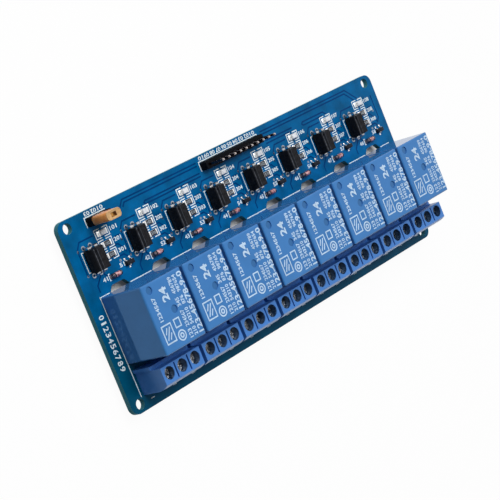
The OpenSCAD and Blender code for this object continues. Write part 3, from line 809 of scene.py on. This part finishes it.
class RELAYBOARD_OT_solder(bpy.types.Operator):
    """Finish the solder under the board and the tinned pins that pass through it"""

    bl_idname = "relayboard.solder"
    bl_label = "Solder and pins"

    def execute(self, context):
        solder = finish(
            "solder_bright", (0.66, 0.68, 0.70), 0.10, 0.5 * MM, 0.25, 0.01 * MM, metallic=1.0)
        tinned = finish(
            "tinned_pin", (0.72, 0.73, 0.74), 0.08, 0.7 * MM, 0.25, 0.004 * MM, metallic=1.0)
        dress(["solder_joints"], solder)
        dress(["relay_pins", "optocoupler_leads"], tinned)
        return {"FINISHED"}


# ---- relays and terminals ----


class RELAYBOARD_OT_relays(bpy.types.Operator):
    """Finish the relays' moulded cases and their base plates"""

    bl_idname = "relayboard.relays"
    bl_label = "Relays"

    def execute(self, context):
        colours = context.scene.relay_board_colours
        case, tree, surface, place = begin_finish("relay_case")
        height = axes_of(tree, place)["Z"]
        # the floors of the two round marks: they face up, and lie a little below the top. They are
        # painted darker, painted shade in the recess
        shaded_mark_floor = both(
            tree, below(tree, height, RELAY_TOP - 0.1 * MM), above(tree, faces_up(tree), 0.9))
        skin = blend_colours(
            tree, shaded_mark_floor, drifting(tree, place, colours.relay, 0.03, 6 * MM),
            shade(colours.relay, 0.84))
        set_surface(tree, surface, place, skin, 3 * MM, 0.06, 0.0002 * MM, 0.9, RELAY_SHEEN)
        base = finish(
            "relay_base", shade(colours.relay, 0.4), 0.06, 3 * MM, 0.5, 0.004 * MM, specular=0.2)
        dress([f"relay_case_{n}" for n in CHANNELS], case)
        dress([f"relay_base_{n}" for n in CHANNELS], base)
        return {"FINISHED"}


# number, its centre from the relay's centre, height, length and weight, in millimetres
RELAY_NUMBERS = (
    ("1234567", -5.0, 2.3, 1.35, 6.7, 0.05),
    ("123", 2.65, -7.2, 1.35, 2.4, 0.04), ("234567", 2.65, -3.0, 1.35, 4.6, 0.04),
    ("345", 2.65, 1.5, 1.35, 2.4, 0.04), ("456789", 2.65, 6.1, 1.35, 4.7, 0.04),
    ("210", 4.4, -7.2, 1.3, 2.4, 0.04), ("543210", 4.4, -3.0, 1.3, 4.6, 0.04),
    ("876", 4.4, 1.5, 1.3, 2.4, 0.04), ("987654", 4.4, 6.1, 1.3, 4.7, 0.04),
    ("123-45678-9-0", 6.5, 0.15, 1.95, 17.0, 0.07),
    ("24", -0.8, 5.0, 2.5, 4.0, 0.12),
)
# a rectangle with three strokes across it, and a square
RELAY_OUTLINES = (
    [(-6.1, -7.0), (-2.7, -7.0), (-2.7, -2.2), (-6.1, -2.2), (-6.1, -7.0)],
    [(-5.4, -6.2), (-3.4, -3.0)],
    [(-5.4, -4.6), (-4.4, -3.0)],
    [(-4.4, -6.2), (-3.4, -4.6)],
    [(-1.3, -4.2), (0.7, -4.2), (0.7, -2.0), (-1.3, -2.0), (-1.3, -4.2)],
)


class RELAYBOARD_OT_relay_print(bpy.types.Operator):
    """Print plain numbers, simple outlines and two rings on the relays' tops"""

    bl_idname = "relayboard.relay_print"
    bl_label = "Relay print"

    def execute(self, context):
        ink = finish("relay_ink", (0.76, 0.86, 0.96), 0.05, 1.5 * MM, 0.5, 0.001 * MM)
        centre = middle("relay_case_1")
        thick = context.scene.relay_board_sizes.print_height
        z = RELAY_TOP + thick / 2

        def at(x, y):
            return (centre.x + x * MM, centre.y + y * MM)

        marks = [
            write_number(
                text, (*at(x, y), z), tall * MM, length * MM, math.pi / 2, thick, bold * MM)
            for text, x, y, tall, length, bold in RELAY_NUMBERS
        ]
        outlines = [[at(x, y) for x, y in path] for path in RELAY_OUTLINES]
        marks.append(draw_lines(outlines, 0.36 * MM, RELAY_TOP, thick))
        ring = [at(-0.3, -6.6)]
        marks.append(draw_rings(ring, 1.5 * MM, 1.12 * MM, RELAY_TOP, thick, vertices=32))
        marks.append(draw_rings(ring, 0.75 * MM, 0.35 * MM, RELAY_TOP, thick))
        repeat(join(marks), "relay_print", ink)
        return {"FINISHED"}


class RELAYBOARD_OT_terminals(bpy.types.Operator):
    """Finish the screw terminals: moulded housings, brass contacts and plated screws"""

    bl_idname = "relayboard.terminals"
    bl_label = "Screw terminals"

    def execute(self, context):
        colours = context.scene.relay_board_colours
        well_r, well_top = 1.95 * MM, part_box("terminal_housing_1")[1].z - 0.25 * MM
        housing, tree, surface, place = begin_finish("terminal_housing")
        axes = axes_of(tree, place)
        # the pattern wraps in the middle of the gap between two housings
        start = (WAYS - 1) * WAY_PITCH / 2 - PITCH / 2
        across = wrapped(tree, less(tree, axes["X"], SCREW_1), start, start + PITCH)
        from_screw = add_node(tree, "ShaderNodeCombineXYZ")
        feed(tree, from_screw.inputs["X"], wrapped(tree, across, -WAY_PITCH / 2, WAY_PITCH / 2))
        feed(tree, from_screw.inputs["Y"], less(tree, axes["Y"], SCREW_Y))
        reach = add_node(tree, "ShaderNodeVectorMath", operation="LENGTH")
        feed(tree, reach.inputs[0], from_screw.outputs["Vector"])
        # painted shade: the insides of the screw wells are painted darker
        shaded_well = both(
            tree, below(tree, reach.outputs["Value"], well_r), below(tree, axes["Z"], well_top))
        skin = blend_colours(
            tree, shaded_well, drifting(tree, place, colours.terminal, 0.04, 5 * MM),
            shade(colours.terminal, 0.42))
        set_surface(tree, surface, place, skin, 1 * MM, 0.33, 0.003 * MM, 0.8, TERMINAL_SHEEN)
        brass = finish(
            "contact_brass", (0.80, 0.66, 0.36), 0.08, 1.2 * MM, 0.3, 0.003 * MM, metallic=1.0)
        zinc = finish(
            "screw_zinc", (0.56, 0.56, 0.56), 0.6, 0.9 * MM, 0.2, 0.08 * MM, metallic=1.0)
        dress([f"terminal_housing_{n}" for n in CHANNELS], housing)
        dress(["terminal_contacts"], brass)
        dress(["terminal_screws"], zinc)
        return {"FINISHED"}


# ---- small parts ----


class RELAYBOARD_OT_optocouplers(bpy.types.Operator):
    """Finish the optocouplers' moulded bodies"""

    bl_idname = "relayboard.optocouplers"
    bl_label = "Optocouplers"

    def execute(self, context):
        colours = context.scene.relay_board_colours
        half = extent("optocoupler_1").x / 2
        body, tree, surface, place = begin_finish("optocoupler_body")
        across = wrapped(
            tree, less(tree, axes_of(tree, place)["X"], OPTO.x), -PITCH / 2, PITCH / 2)
        top = above(tree, faces_up(tree), 0.2)
        skin = drifting(tree, place, colours.black, 0.25, 0.8 * MM)
        # painted highlights on the top: a lighter sheen over its middle, and two bright edge lines
        # beside it
        for middle_x, inner, outer, tone in (
                (0.36 * half, 0.34 * half, 0.5 * half, (0.125, 0.125, 0.135)),
                (-0.12 * half, 0.04 * MM, 0.16 * MM, (0.23, 0.24, 0.26)),
                (-0.62 * half, 0.06 * MM, 0.2 * MM, (0.29, 0.30, 0.32))):
            band = both(tree, top, within(tree, less(tree, across, middle_x), inner, outer))
            skin = blend_colours(tree, band, skin, drifting(tree, place, tone, 0.3, 0.8 * MM))
        set_surface(tree, surface, place, skin, 0.3 * MM, 0.35, 0.008 * MM, 0.06)
        dress([f"optocoupler_{n}" for n in CHANNELS], body)
        return {"FINISHED"}


def end_fillets(centre, size, reach):
    """Solder drawn up each end of a chip part, from its pad to near its top."""
    overlap, toe_h = 0.05 * MM, 0.08 * MM
    depth, height = size.y * 0.94, size.z * 0.8
    pieces = []
    for s in (-1, 1):
        x = centre.x + s * (size.x / 2 + reach / 2 - overlap)
        fillet = add_block((x, centre.y, TOP + height / 2), (reach + 2 * overlap, depth, height))
        edit()
        pick("VERT", lambda v: (v.co.x - x) * s > 0 and v.co.z > TOP + height / 2)
        bpy.ops.transform.translate(value=(0, 0, toe_h - height))
        end_edit()
        round_edges(0.06 * MM)
        smooth(50)
        pieces.append(fillet)
    return pieces


def chip_ends(centre, size, length, lift, bevel, segments, reach):
    """A plated end over each end of a chip part, and the solder drawn up it."""
    height = size.z + 2 * lift
    ends = [
        add_block(
            (centre.x + s * (size.x - length) / 2, centre.y, TOP + size.z / 2 + lift),
            (length, size.y, height), bevel, segments)
        for s in (-1, 1)
    ]
    return join(ends + end_fillets(centre, size, reach))


class RELAYBOARD_OT_status_leds(bpy.types.Operator):
    """Model the light-emitting diodes: a pale carrier, plated ends and a domed lens"""

    bl_idname = "relayboard.status_leds"
    bl_label = "Light-emitting diodes"

    def execute(self, context):
        centre, size = first_of_row("status_leds")
        carrier_h, end_l, inset = 0.5 * MM, 0.5 * MM, 0.1 * MM
        lens_h = size.z - carrier_h
        plated = finish(
            "led_plating", (0.90, 0.90, 0.89), 0.06, 0.5 * MM, 0.25, 0.003 * MM, metallic=0.9)
        pale = finish("led_carrier", (0.92, 0.92, 0.88), 0.05, 0.6 * MM, 0.5, 0.003 * MM)
        lens_finish, tree, surface, place = begin_finish("led_lens")
        clear = drifting(tree, place, (0.92, 0.93, 0.95), 0.06, 0.9 * MM)
        set_surface(tree, surface, place, clear, 0.5 * MM, 0.15, 0.001 * MM, 0.5)

        carrier = add_block(
            (centre.x, centre.y, TOP + carrier_h / 2),
            (size.x - inset, size.y - inset, carrier_h), 0.04 * MM)
        repeat(carrier, "led_carrier", pale, ["status_leds"])

        ends = chip_ends(
            centre, Vector((size.x, size.y, carrier_h)), end_l, 0.02 * MM, 0.06 * MM, 2, 0.35 * MM)
        repeat(ends, "led_ends", plated, ["status_leds"])

        lens = add_block(
            (centre.x, centre.y, TOP + carrier_h + lens_h / 2),
            (size.x - 2 * end_l, size.y - inset, lens_h))
        edit()
        pick("FACE", lambda f: f.normal.z > 0.9)
        bpy.ops.transform.resize(
            value=(0.82, 0.86, 1), center_override=(centre.x, centre.y, TOP + size.z))
        end_edit()
        round_edges(0.16 * MM, 4)
        smooth(50)
        repeat(lens, "led_lens", lens_finish, ["status_leds"])
        return {"FINISHED"}


class RELAYBOARD_OT_resistors(bpy.types.Operator):
    """Model two rows of chip resistors: ceramic bar, black film, plated ends, printed value"""

    bl_idname = "relayboard.resistors"
    bl_label = "Resistors"

    def execute(self, context):
        colours = context.scene.relay_board_colours
        ceramic = finish("resistor_ceramic", (0.90, 0.90, 0.88), 0.04, 0.6 * MM, 0.5, 0.003 * MM)
        film = finish(
            "resistor_film", (0.15, 0.14, 0.17), 0.10, 0.8 * MM, 0.35, 0.003 * MM, specular=0.3)
        plated = finish(
            "resistor_plating", (0.90, 0.90, 0.90), 0.08, 0.5 * MM, 0.25, 0.003 * MM,
            metallic=0.95)
        value_ink = finish(
            "value_ink", shade(colours.ink, 0.75), 0.05, 1.0 * MM, 0.6, 0.002 * MM)
        end_l, film_h, film_sunk, print_h = 0.55 * MM, 0.06 * MM, 0.02 * MM, 0.02 * MM
        for row, value in (("led_resistors", "102"), ("base_resistors", "510")):
            centre, size = first_of_row(row)
            bar_h = size.z - 0.05 * MM
            bar = add_block(
                (centre.x, centre.y, TOP + bar_h / 2),
                (size.x - 0.1 * MM, size.y - 0.1 * MM, bar_h), 0.04 * MM)
            repeat(bar, f"{row}_bar", ceramic, [row])
            cover = add_block(
                (centre.x, centre.y, TOP + bar_h + film_h / 2 - film_sunk),
                (size.x - 2 * end_l, size.y - 0.16 * MM, film_h), 0.025 * MM)
            repeat(cover, f"{row}_film", film, [row])
            ends = chip_ends(centre, size, end_l, 0, 0.08 * MM, 3, 0.35 * MM)
            repeat(ends, f"{row}_ends", plated, [row])
            mark = write_number(
                value, (centre.x, centre.y, TOP + size.z + print_h / 4), 0.85 * MM, 1.5 * MM, 0,
                print_h, 0.02 * MM)
            repeat(mark, f"{row}_value", value_ink, [row])
        return {"FINISHED"}


class RELAYBOARD_OT_diodes(bpy.types.Operator):
    """Model the flyback diodes: a glass tube, its black band and a metal cap at each end"""

    bl_idname = "relayboard.diodes"
    bl_label = "Flyback diodes"

    def execute(self, context):
        centre, size = first_of_row("flyback_diodes")
        radius, cap_l, band_l = size.z / 2, 0.55 * MM, 0.6 * MM
        glass, tree, surface, place = begin_finish("diode_glass")
        # painted highlights: pale pink streaks run over the dark red glass
        highlight_streaks = spread(tree, add_noise(tree, place, 0.55 * MM), 0.40, 0.62, 0, 1)
        glass_with_highlights = blend_colours(tree, highlight_streaks, (0.50, 0.14, 0.13), (0.90, 0.66, 0.66))
        set_surface(tree, surface, place, glass_with_highlights, 0.5 * MM, 0.08, 0.001 * MM, 1.0)
        surface.inputs["Coat Weight"].default_value = 1.0
        surface.inputs["Coat Roughness"].default_value = 0.25
        band = finish("diode_band", (0.06, 0.06, 0.09), 0.10, 0.5 * MM, 0.2, 0.002 * MM)
        metal = finish(
            "diode_caps", (0.34, 0.32, 0.35), 0.3, 0.5 * MM, 0.2, 0.003 * MM, metallic=1.0)

        tube = add_bar_along(centre, radius * 0.93, size.x - 0.4 * MM, 0.1 * MM)
        repeat(tube, "diode_glass", glass, ["flyback_diodes"])
        band_x = size.x / 2 - cap_l - 0.35 * MM
        ring = add_bar_along(centre - Vector((band_x, 0, 0)), radius * 0.95, band_l, 0.02 * MM)
        repeat(ring, "diode_band", band, ["flyback_diodes"])
        caps = [
            add_bar_along(
                centre + Vector((s * (size.x - cap_l) / 2, 0, 0)), radius, cap_l, 0.12 * MM)
            for s in (-1, 1)
        ]
        caps += end_fillets(centre, Vector((size.x, size.y * 0.8, size.z * 0.4)), 0.25 * MM)
        repeat(join(caps), "diode_caps", metal, ["flyback_diodes"])
        return {"FINISHED"}


class RELAYBOARD_OT_transistors(bpy.types.Operator):
    """Model the driver transistors: a bevelled body and three formed leads in their solder"""

    bl_idname = "relayboard.transistors"
    bl_label = "Transistors"

    def execute(self, context):
        colours = context.scene.relay_board_colours
        centre, size = first_of_row("driver_transistors")
        body_d, lift, lead_w, lead_t = 1.3 * MM, 0.1 * MM, 0.4 * MM, 0.15 * MM
        body_h = size.z - lift
        shoulder = TOP + lift + body_h / 2
        black = finish(
            "transistor_body", shade(colours.black, 1.5), 0.15, 0.8 * MM, 0.35, 0.006 * MM,
            specular=0.12)
        tinned = finish(
            "transistor_leads", (0.90, 0.90, 0.90), 0.08, 0.5 * MM, 0.22, 0.003 * MM,
            metallic=1.0)

        body = add_block((centre.x, centre.y, shoulder), (size.x, body_d, body_h))
        edit()
        bpy.ops.mesh.select_all(action="SELECT")
        bpy.ops.mesh.bisect(
            plane_co=(centre.x, centre.y, shoulder), plane_no=(0, 0, 1), use_fill=False)
        pick("FACE", lambda f: abs(f.normal.z) > 0.9)
        bpy.ops.transform.resize(value=(0.93, 0.84, 1), center_override=centre)
        end_edit()
        round_edges(0.05 * MM, past=20)
        smooth(25)
        repeat(body, "transistor_body", black, ["driver_transistors"])

        slope, solder_back = 0.1 * MM, 0.05 * MM
        solder_w, solder_d, solder_h = 0.8 * MM, 0.6 * MM, 0.26 * MM
        start, knee, end = body_d / 2 - lead_t, body_d / 2 + 0.22 * MM, size.y / 2
        leads = []
        for x, s in ((-0.95 * MM, 1), (0.95 * MM, 1), (0, -1)):
            foot = add_block(
                (centre.x + x, centre.y + s * (knee + end) / 2, TOP + lead_t / 2),
                (lead_w, end - knee, lead_t))
            edit()
            pick("FACE", lambda f: f.normal.y * s < -0.9)
            extrude(0, -s * slope, shoulder - TOP - lead_t / 2)
            extrude(0, -s * (knee - slope - start), 0)
            end_edit()
            round_edges(0.04 * MM)
            leads.append(foot)
            y = centre.y + s * (end - solder_back)
            solder = add_block(
                (centre.x + x, y, TOP + solder_h / 2), (solder_w, solder_d, solder_h))
            edit()
            pick("FACE", lambda f: f.normal.z > 0.9)
            bpy.ops.transform.resize(value=(0.5, 0.5, 1), center_override=(centre.x + x, y, TOP))
            end_edit()
            round_edges(0.1 * MM, 3)
            smooth(50)
            leads.append(solder)
        repeat(join(leads), "transistor_leads", tinned, ["driver_transistors"])
        return {"FINISHED"}


# ---- headers and jumper ----


class RELAYBOARD_OT_headers(bpy.types.Operator):
    """Finish the two pin headers: black bases and plated pins, painted brighter at the tips as a
    painted highlight
    """

    bl_idname = "relayboard.headers"
    bl_label = "Pin headers"

    def execute(self, context):
        colours = context.scene.relay_board_colours
        base = finish(
            "header_base", shade(colours.black, 0.8), 0.1, 1.2 * MM, 0.45, 0.006 * MM,
            specular=0.04)
        tip_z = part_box("input_header_pins")[1].z - 0.45 * MM
        plated, tree, surface, place = begin_finish("header_pin")
        surface.inputs["Metallic"].default_value = 1.0
        # painted highlight: the pins' tips are painted brighter than their shafts
        skin = blend_colours(
            tree, above(tree, axes_of(tree, place)["Z"], tip_z),
            drifting(tree, place, (0.33, 0.24, 0.24), 0.35, 0.8 * MM),
            drifting(tree, place, (0.80, 0.76, 0.74), 0.10, 0.8 * MM))
        set_surface(tree, surface, place, skin, 0.3 * MM, 0.25, 0.003 * MM, 0.5)
        dress([f"{header}_base" for header in HEADERS], base)
        dress([f"{header}_pins" for header in HEADERS], plated)
        return {"FINISHED"}


class RELAYBOARD_OT_jumper(bpy.types.Operator):
    """Model the jumper cap: a rounded shell with a rim round its probe window"""

    bl_idname = "relayboard.jumper"
    bl_label = "Jumper cap"

    def execute(self, context):
        colours = context.scene.relay_board_colours
        low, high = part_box("jumper_cap")
        centre, size = (low + high) / 2, high - low
        rim, step, slot_l, slot_w, slot_depth = 0.22 * MM, 0.08 * MM, 1.9 * MM, 1.1 * MM, 0.9 * MM
        corner_r, wall, room_h = 0.9 * MM, 0.45 * MM, 2.2 * MM
        crown_h, fade = 0.25 * MM, 0.12 * MM
        plastic, tree, surface, place = begin_finish("jumper_plastic")
        axes = axes_of(tree, place)
        # painted highlight: the top is painted lighter than the sides, as if lit from above
        highlit = blend_colours(
            tree, above(tree, axes["Z"], high.z - crown_h),
            drifting(tree, place, colours.cap, 0.12, 1.4 * MM),
            drifting(tree, place, colours.cap_lit_top, 0.08, 1.0 * MM))
        # painted shade: the floor of the probe window is painted dark
        hole = both(
            tree,
            within(tree, less(tree, axes["X"], centre.x), slot_l / 2, slot_l / 2 + fade),
            within(tree, less(tree, axes["Y"], centre.y), slot_w / 2, slot_w / 2 + fade))
        skin = blend_colours(tree, hole, highlit, shade(colours.cap, 0.42))
        set_surface(tree, surface, place, skin, 0.8 * MM, 0.3, 0.003 * MM, 0.4)
        bronze = finish(
            "clip_bronze", (0.72, 0.52, 0.28), 0.10, 0.8 * MM, 0.3, 0.003 * MM, metallic=1.0)

        shell = add_block(centre, size)
        edit()
        pick("EDGE", lambda e: abs(e.verts[0].co.z - e.verts[1].co.z) > size.z / 2)
        bpy.ops.mesh.bevel(offset=corner_r, segments=6)
        pick("FACE", lambda f: f.normal.z > 0.9)
        bpy.ops.mesh.inset(thickness=rim)
        extrude(0, 0, -step)
        bpy.ops.mesh.inset(thickness=(size.y - slot_w) / 2 - rim)
        bpy.ops.transform.resize(
            value=(slot_l / (size.x - size.y + slot_w), 1, 1),
            center_override=(centre.x, centre.y, high.z))
        extrude(0, 0, -slot_depth)
        pick("FACE", lambda f: f.normal.z < -0.9)
        bpy.ops.mesh.inset(thickness=wall)
        extrude(0, 0, room_h)
        end_edit()
        round_edges(0.07 * MM, past=50)
        smooth(40)
        settle(shell, "jumper_shell", plastic, ["jumper_cap"])
        dress(["jumper_clip"], bronze)
        return {"FINISHED"}


# ---- stage ----

FLOOR_SIDE = 6
FLOOR_GAP = 0.3 * MM
LAMPS = (  # name, place, side and power
    ("lamp_top", (-0.05, 0.42, 0.72), 0.6, 6.9),
    ("lamp_front", (0.25, -0.70, 0.35), 0.5, 0.5),
)
FILL_LIGHT = 0.10
CAMERA_PLACE = (-0.36395, 0.06161, 0.35980)
CAMERA_VIEW = Vector((0.69983, -0.12741, -0.70285))
CAMERA_RIGHT = Vector((0.62326, -0.37179, 0.68798))
CAMERA_LENS = 130.07
CAMERA_SENSOR = 36


def floor_finish():
    """White to the camera and in reflections, and plain grey to the light on the object."""
    material = bpy.data.materials.new("floor_paper")
    material.use_nodes = True
    tree = material.node_tree
    tree.nodes.clear()
    place = add_node(tree, "ShaderNodeTexCoord").outputs["Object"]
    rays = add_node(tree, "ShaderNodeLightPath").outputs
    pale = blend_colours(tree, add_noise(tree, place, 0.05), grey(0.95), grey(0.96))
    paper = add_node(tree, "ShaderNodeBsdfDiffuse")
    feed(
        tree, paper.inputs["Color"],
        blend_colours(tree, rays["Is Camera Ray"], grey(0.62), pale))
    glow = add_node(tree, "ShaderNodeEmission")
    glow.inputs["Color"].default_value = (1, 1, 1, 1)
    # little light reaches the floor under the board, so it is dark there
    axes = axes_of(tree, place)
    under_board = both(
        tree, within(tree, axes["X"], 62 * MM, 66 * MM), within(tree, axes["Y"], 17 * MM, 22 * MM))
    seen = both(tree, rays["Is Camera Ray"], spread(tree, under_board, 0, 1, 0.955, 0.03))
    mirrored = both(tree, rays["Is Glossy Ray"], spread(tree, under_board, 0, 1, 1, 0.3))
    share = either(tree, either(tree, seen, mirrored), rays["Is Transmission Ray"])
    lit = blend_shaders(tree, share, paper.outputs["BSDF"], glow.outputs["Emission"])
    clear = add_node(tree, "ShaderNodeBsdfTransparent").outputs["BSDF"]
    from_below = add_node(tree, "ShaderNodeNewGeometry").outputs["Backfacing"]
    output = add_node(tree, "ShaderNodeOutputMaterial")
    feed(tree, output.inputs["Surface"], blend_shaders(tree, from_below, lit, clear))
    return material


def add_background(tree, strength):
    light = add_node(tree, "ShaderNodeBackground")
    light.inputs["Color"].default_value = (1, 1, 1, 1)
    light.inputs["Strength"].default_value = strength
    return light.outputs["Background"]


def add_lamp(name, place, side, power):
    """A square soft lamp at a place, turned towards the board's middle."""
    deselect()
    bpy.ops.object.light_add(type="AREA", location=place)
    lamp = bpy.context.object
    lamp.name = name
    lamp.data.size = side
    lamp.data.energy = power
    lamp.rotation_euler = (-Vector(place)).to_track_quat("-Z", "Y").to_euler()


class RELAYBOARD_OT_stage(bpy.types.Operator):
    """Set the floor, the soft lamps, the world and the camera"""

    bl_idname = "relayboard.stage"
    bl_label = "Stage"

    def execute(self, context):
        scene = context.scene
        deselect()
        floor_z = CAD_BOUNDS[0][2] - FLOOR_GAP
        bpy.ops.mesh.primitive_plane_add(size=FLOOR_SIDE, location=(0, 0, floor_z))
        floor = bpy.context.object
        floor.name = "floor"
        floor.data.materials.append(floor_finish())

        for lamp in LAMPS:
            add_lamp(*lamp)

        world = bpy.data.worlds.new("studio")
        world.use_nodes = True
        scene.world = world
        tree = world.node_tree
        tree.nodes.clear()
        rays = add_node(tree, "ShaderNodeLightPath").outputs
        seen = either(tree, rays["Is Camera Ray"], rays["Is Glossy Ray"])
        seen = either(tree, seen, rays["Is Transmission Ray"])
        light = blend_shaders(
            tree, seen, add_background(tree, FILL_LIGHT), add_background(tree, 1.0))
        output = add_node(tree, "ShaderNodeOutputWorld")
        feed(tree, output.inputs["Surface"], light)

        bpy.ops.object.camera_add()
        camera = bpy.context.object
        camera.name = "camera"
        camera.data.lens = CAMERA_LENS
        camera.data.sensor_width = CAMERA_SENSOR
        camera.data.clip_start = 0.01
        up = CAMERA_RIGHT.cross(CAMERA_VIEW)
        turn = Matrix((CAMERA_RIGHT, up, -CAMERA_VIEW)).transposed().to_4x4()
        camera.matrix_world = Matrix.Translation(CAMERA_PLACE) @ turn
        scene.camera = camera
        scene.view_settings.view_transform = "Standard"
        return {"FINISHED"}


# ---- the panel, and the run ----

OPERATORS = (
    RELAYBOARD_OT_board, RELAYBOARD_OT_tracks, RELAYBOARD_OT_pads, RELAYBOARD_OT_silkscreen,
    RELAYBOARD_OT_numbers, RELAYBOARD_OT_solder, RELAYBOARD_OT_relays, RELAYBOARD_OT_relay_print,
    RELAYBOARD_OT_terminals, RELAYBOARD_OT_optocouplers, RELAYBOARD_OT_status_leds,
    RELAYBOARD_OT_resistors, RELAYBOARD_OT_diodes, RELAYBOARD_OT_transistors,
    RELAYBOARD_OT_headers, RELAYBOARD_OT_jumper, RELAYBOARD_OT_stage,
)


class RELAYBOARD_PT_pieces(bpy.types.Panel):
    """Lists the pieces of the relay module board in the order in which they are made"""

    bl_idname = "RELAYBOARD_PT_pieces"
    bl_label = "Relay module board"
    bl_space_type = "VIEW_3D"
    bl_region_type = "UI"
    bl_category = "Relay board"

    def draw(self, context):
        for group in (context.scene.relay_board_sizes, context.scene.relay_board_colours):
            for name in group.bl_rna.properties.keys():
                if name not in ("rna_type", "name"):
                    self.layout.prop(group, name)
        for operator in OPERATORS:
            self.layout.operator(operator.bl_idname)


CLASSES = (RelayBoardSizes, RelayBoardColours, *OPERATORS, RELAYBOARD_PT_pieces)


def register():
    for cls in CLASSES:
        bpy.utils.register_class(cls)
    bpy.types.Scene.relay_board_sizes = bpy.props.PointerProperty(type=RelayBoardSizes)
    bpy.types.Scene.relay_board_colours = bpy.props.PointerProperty(type=RelayBoardColours)


def unregister():
    del bpy.types.Scene.relay_board_colours
    del bpy.types.Scene.relay_board_sizes
    for cls in reversed(CLASSES):
        bpy.utils.unregister_class(cls)


def main():
    register()
    for operator in OPERATORS:
        family, name = operator.bl_idname.split(".")
        getattr(getattr(bpy.ops, family), name)()


if __name__ == "__main__":
    main()
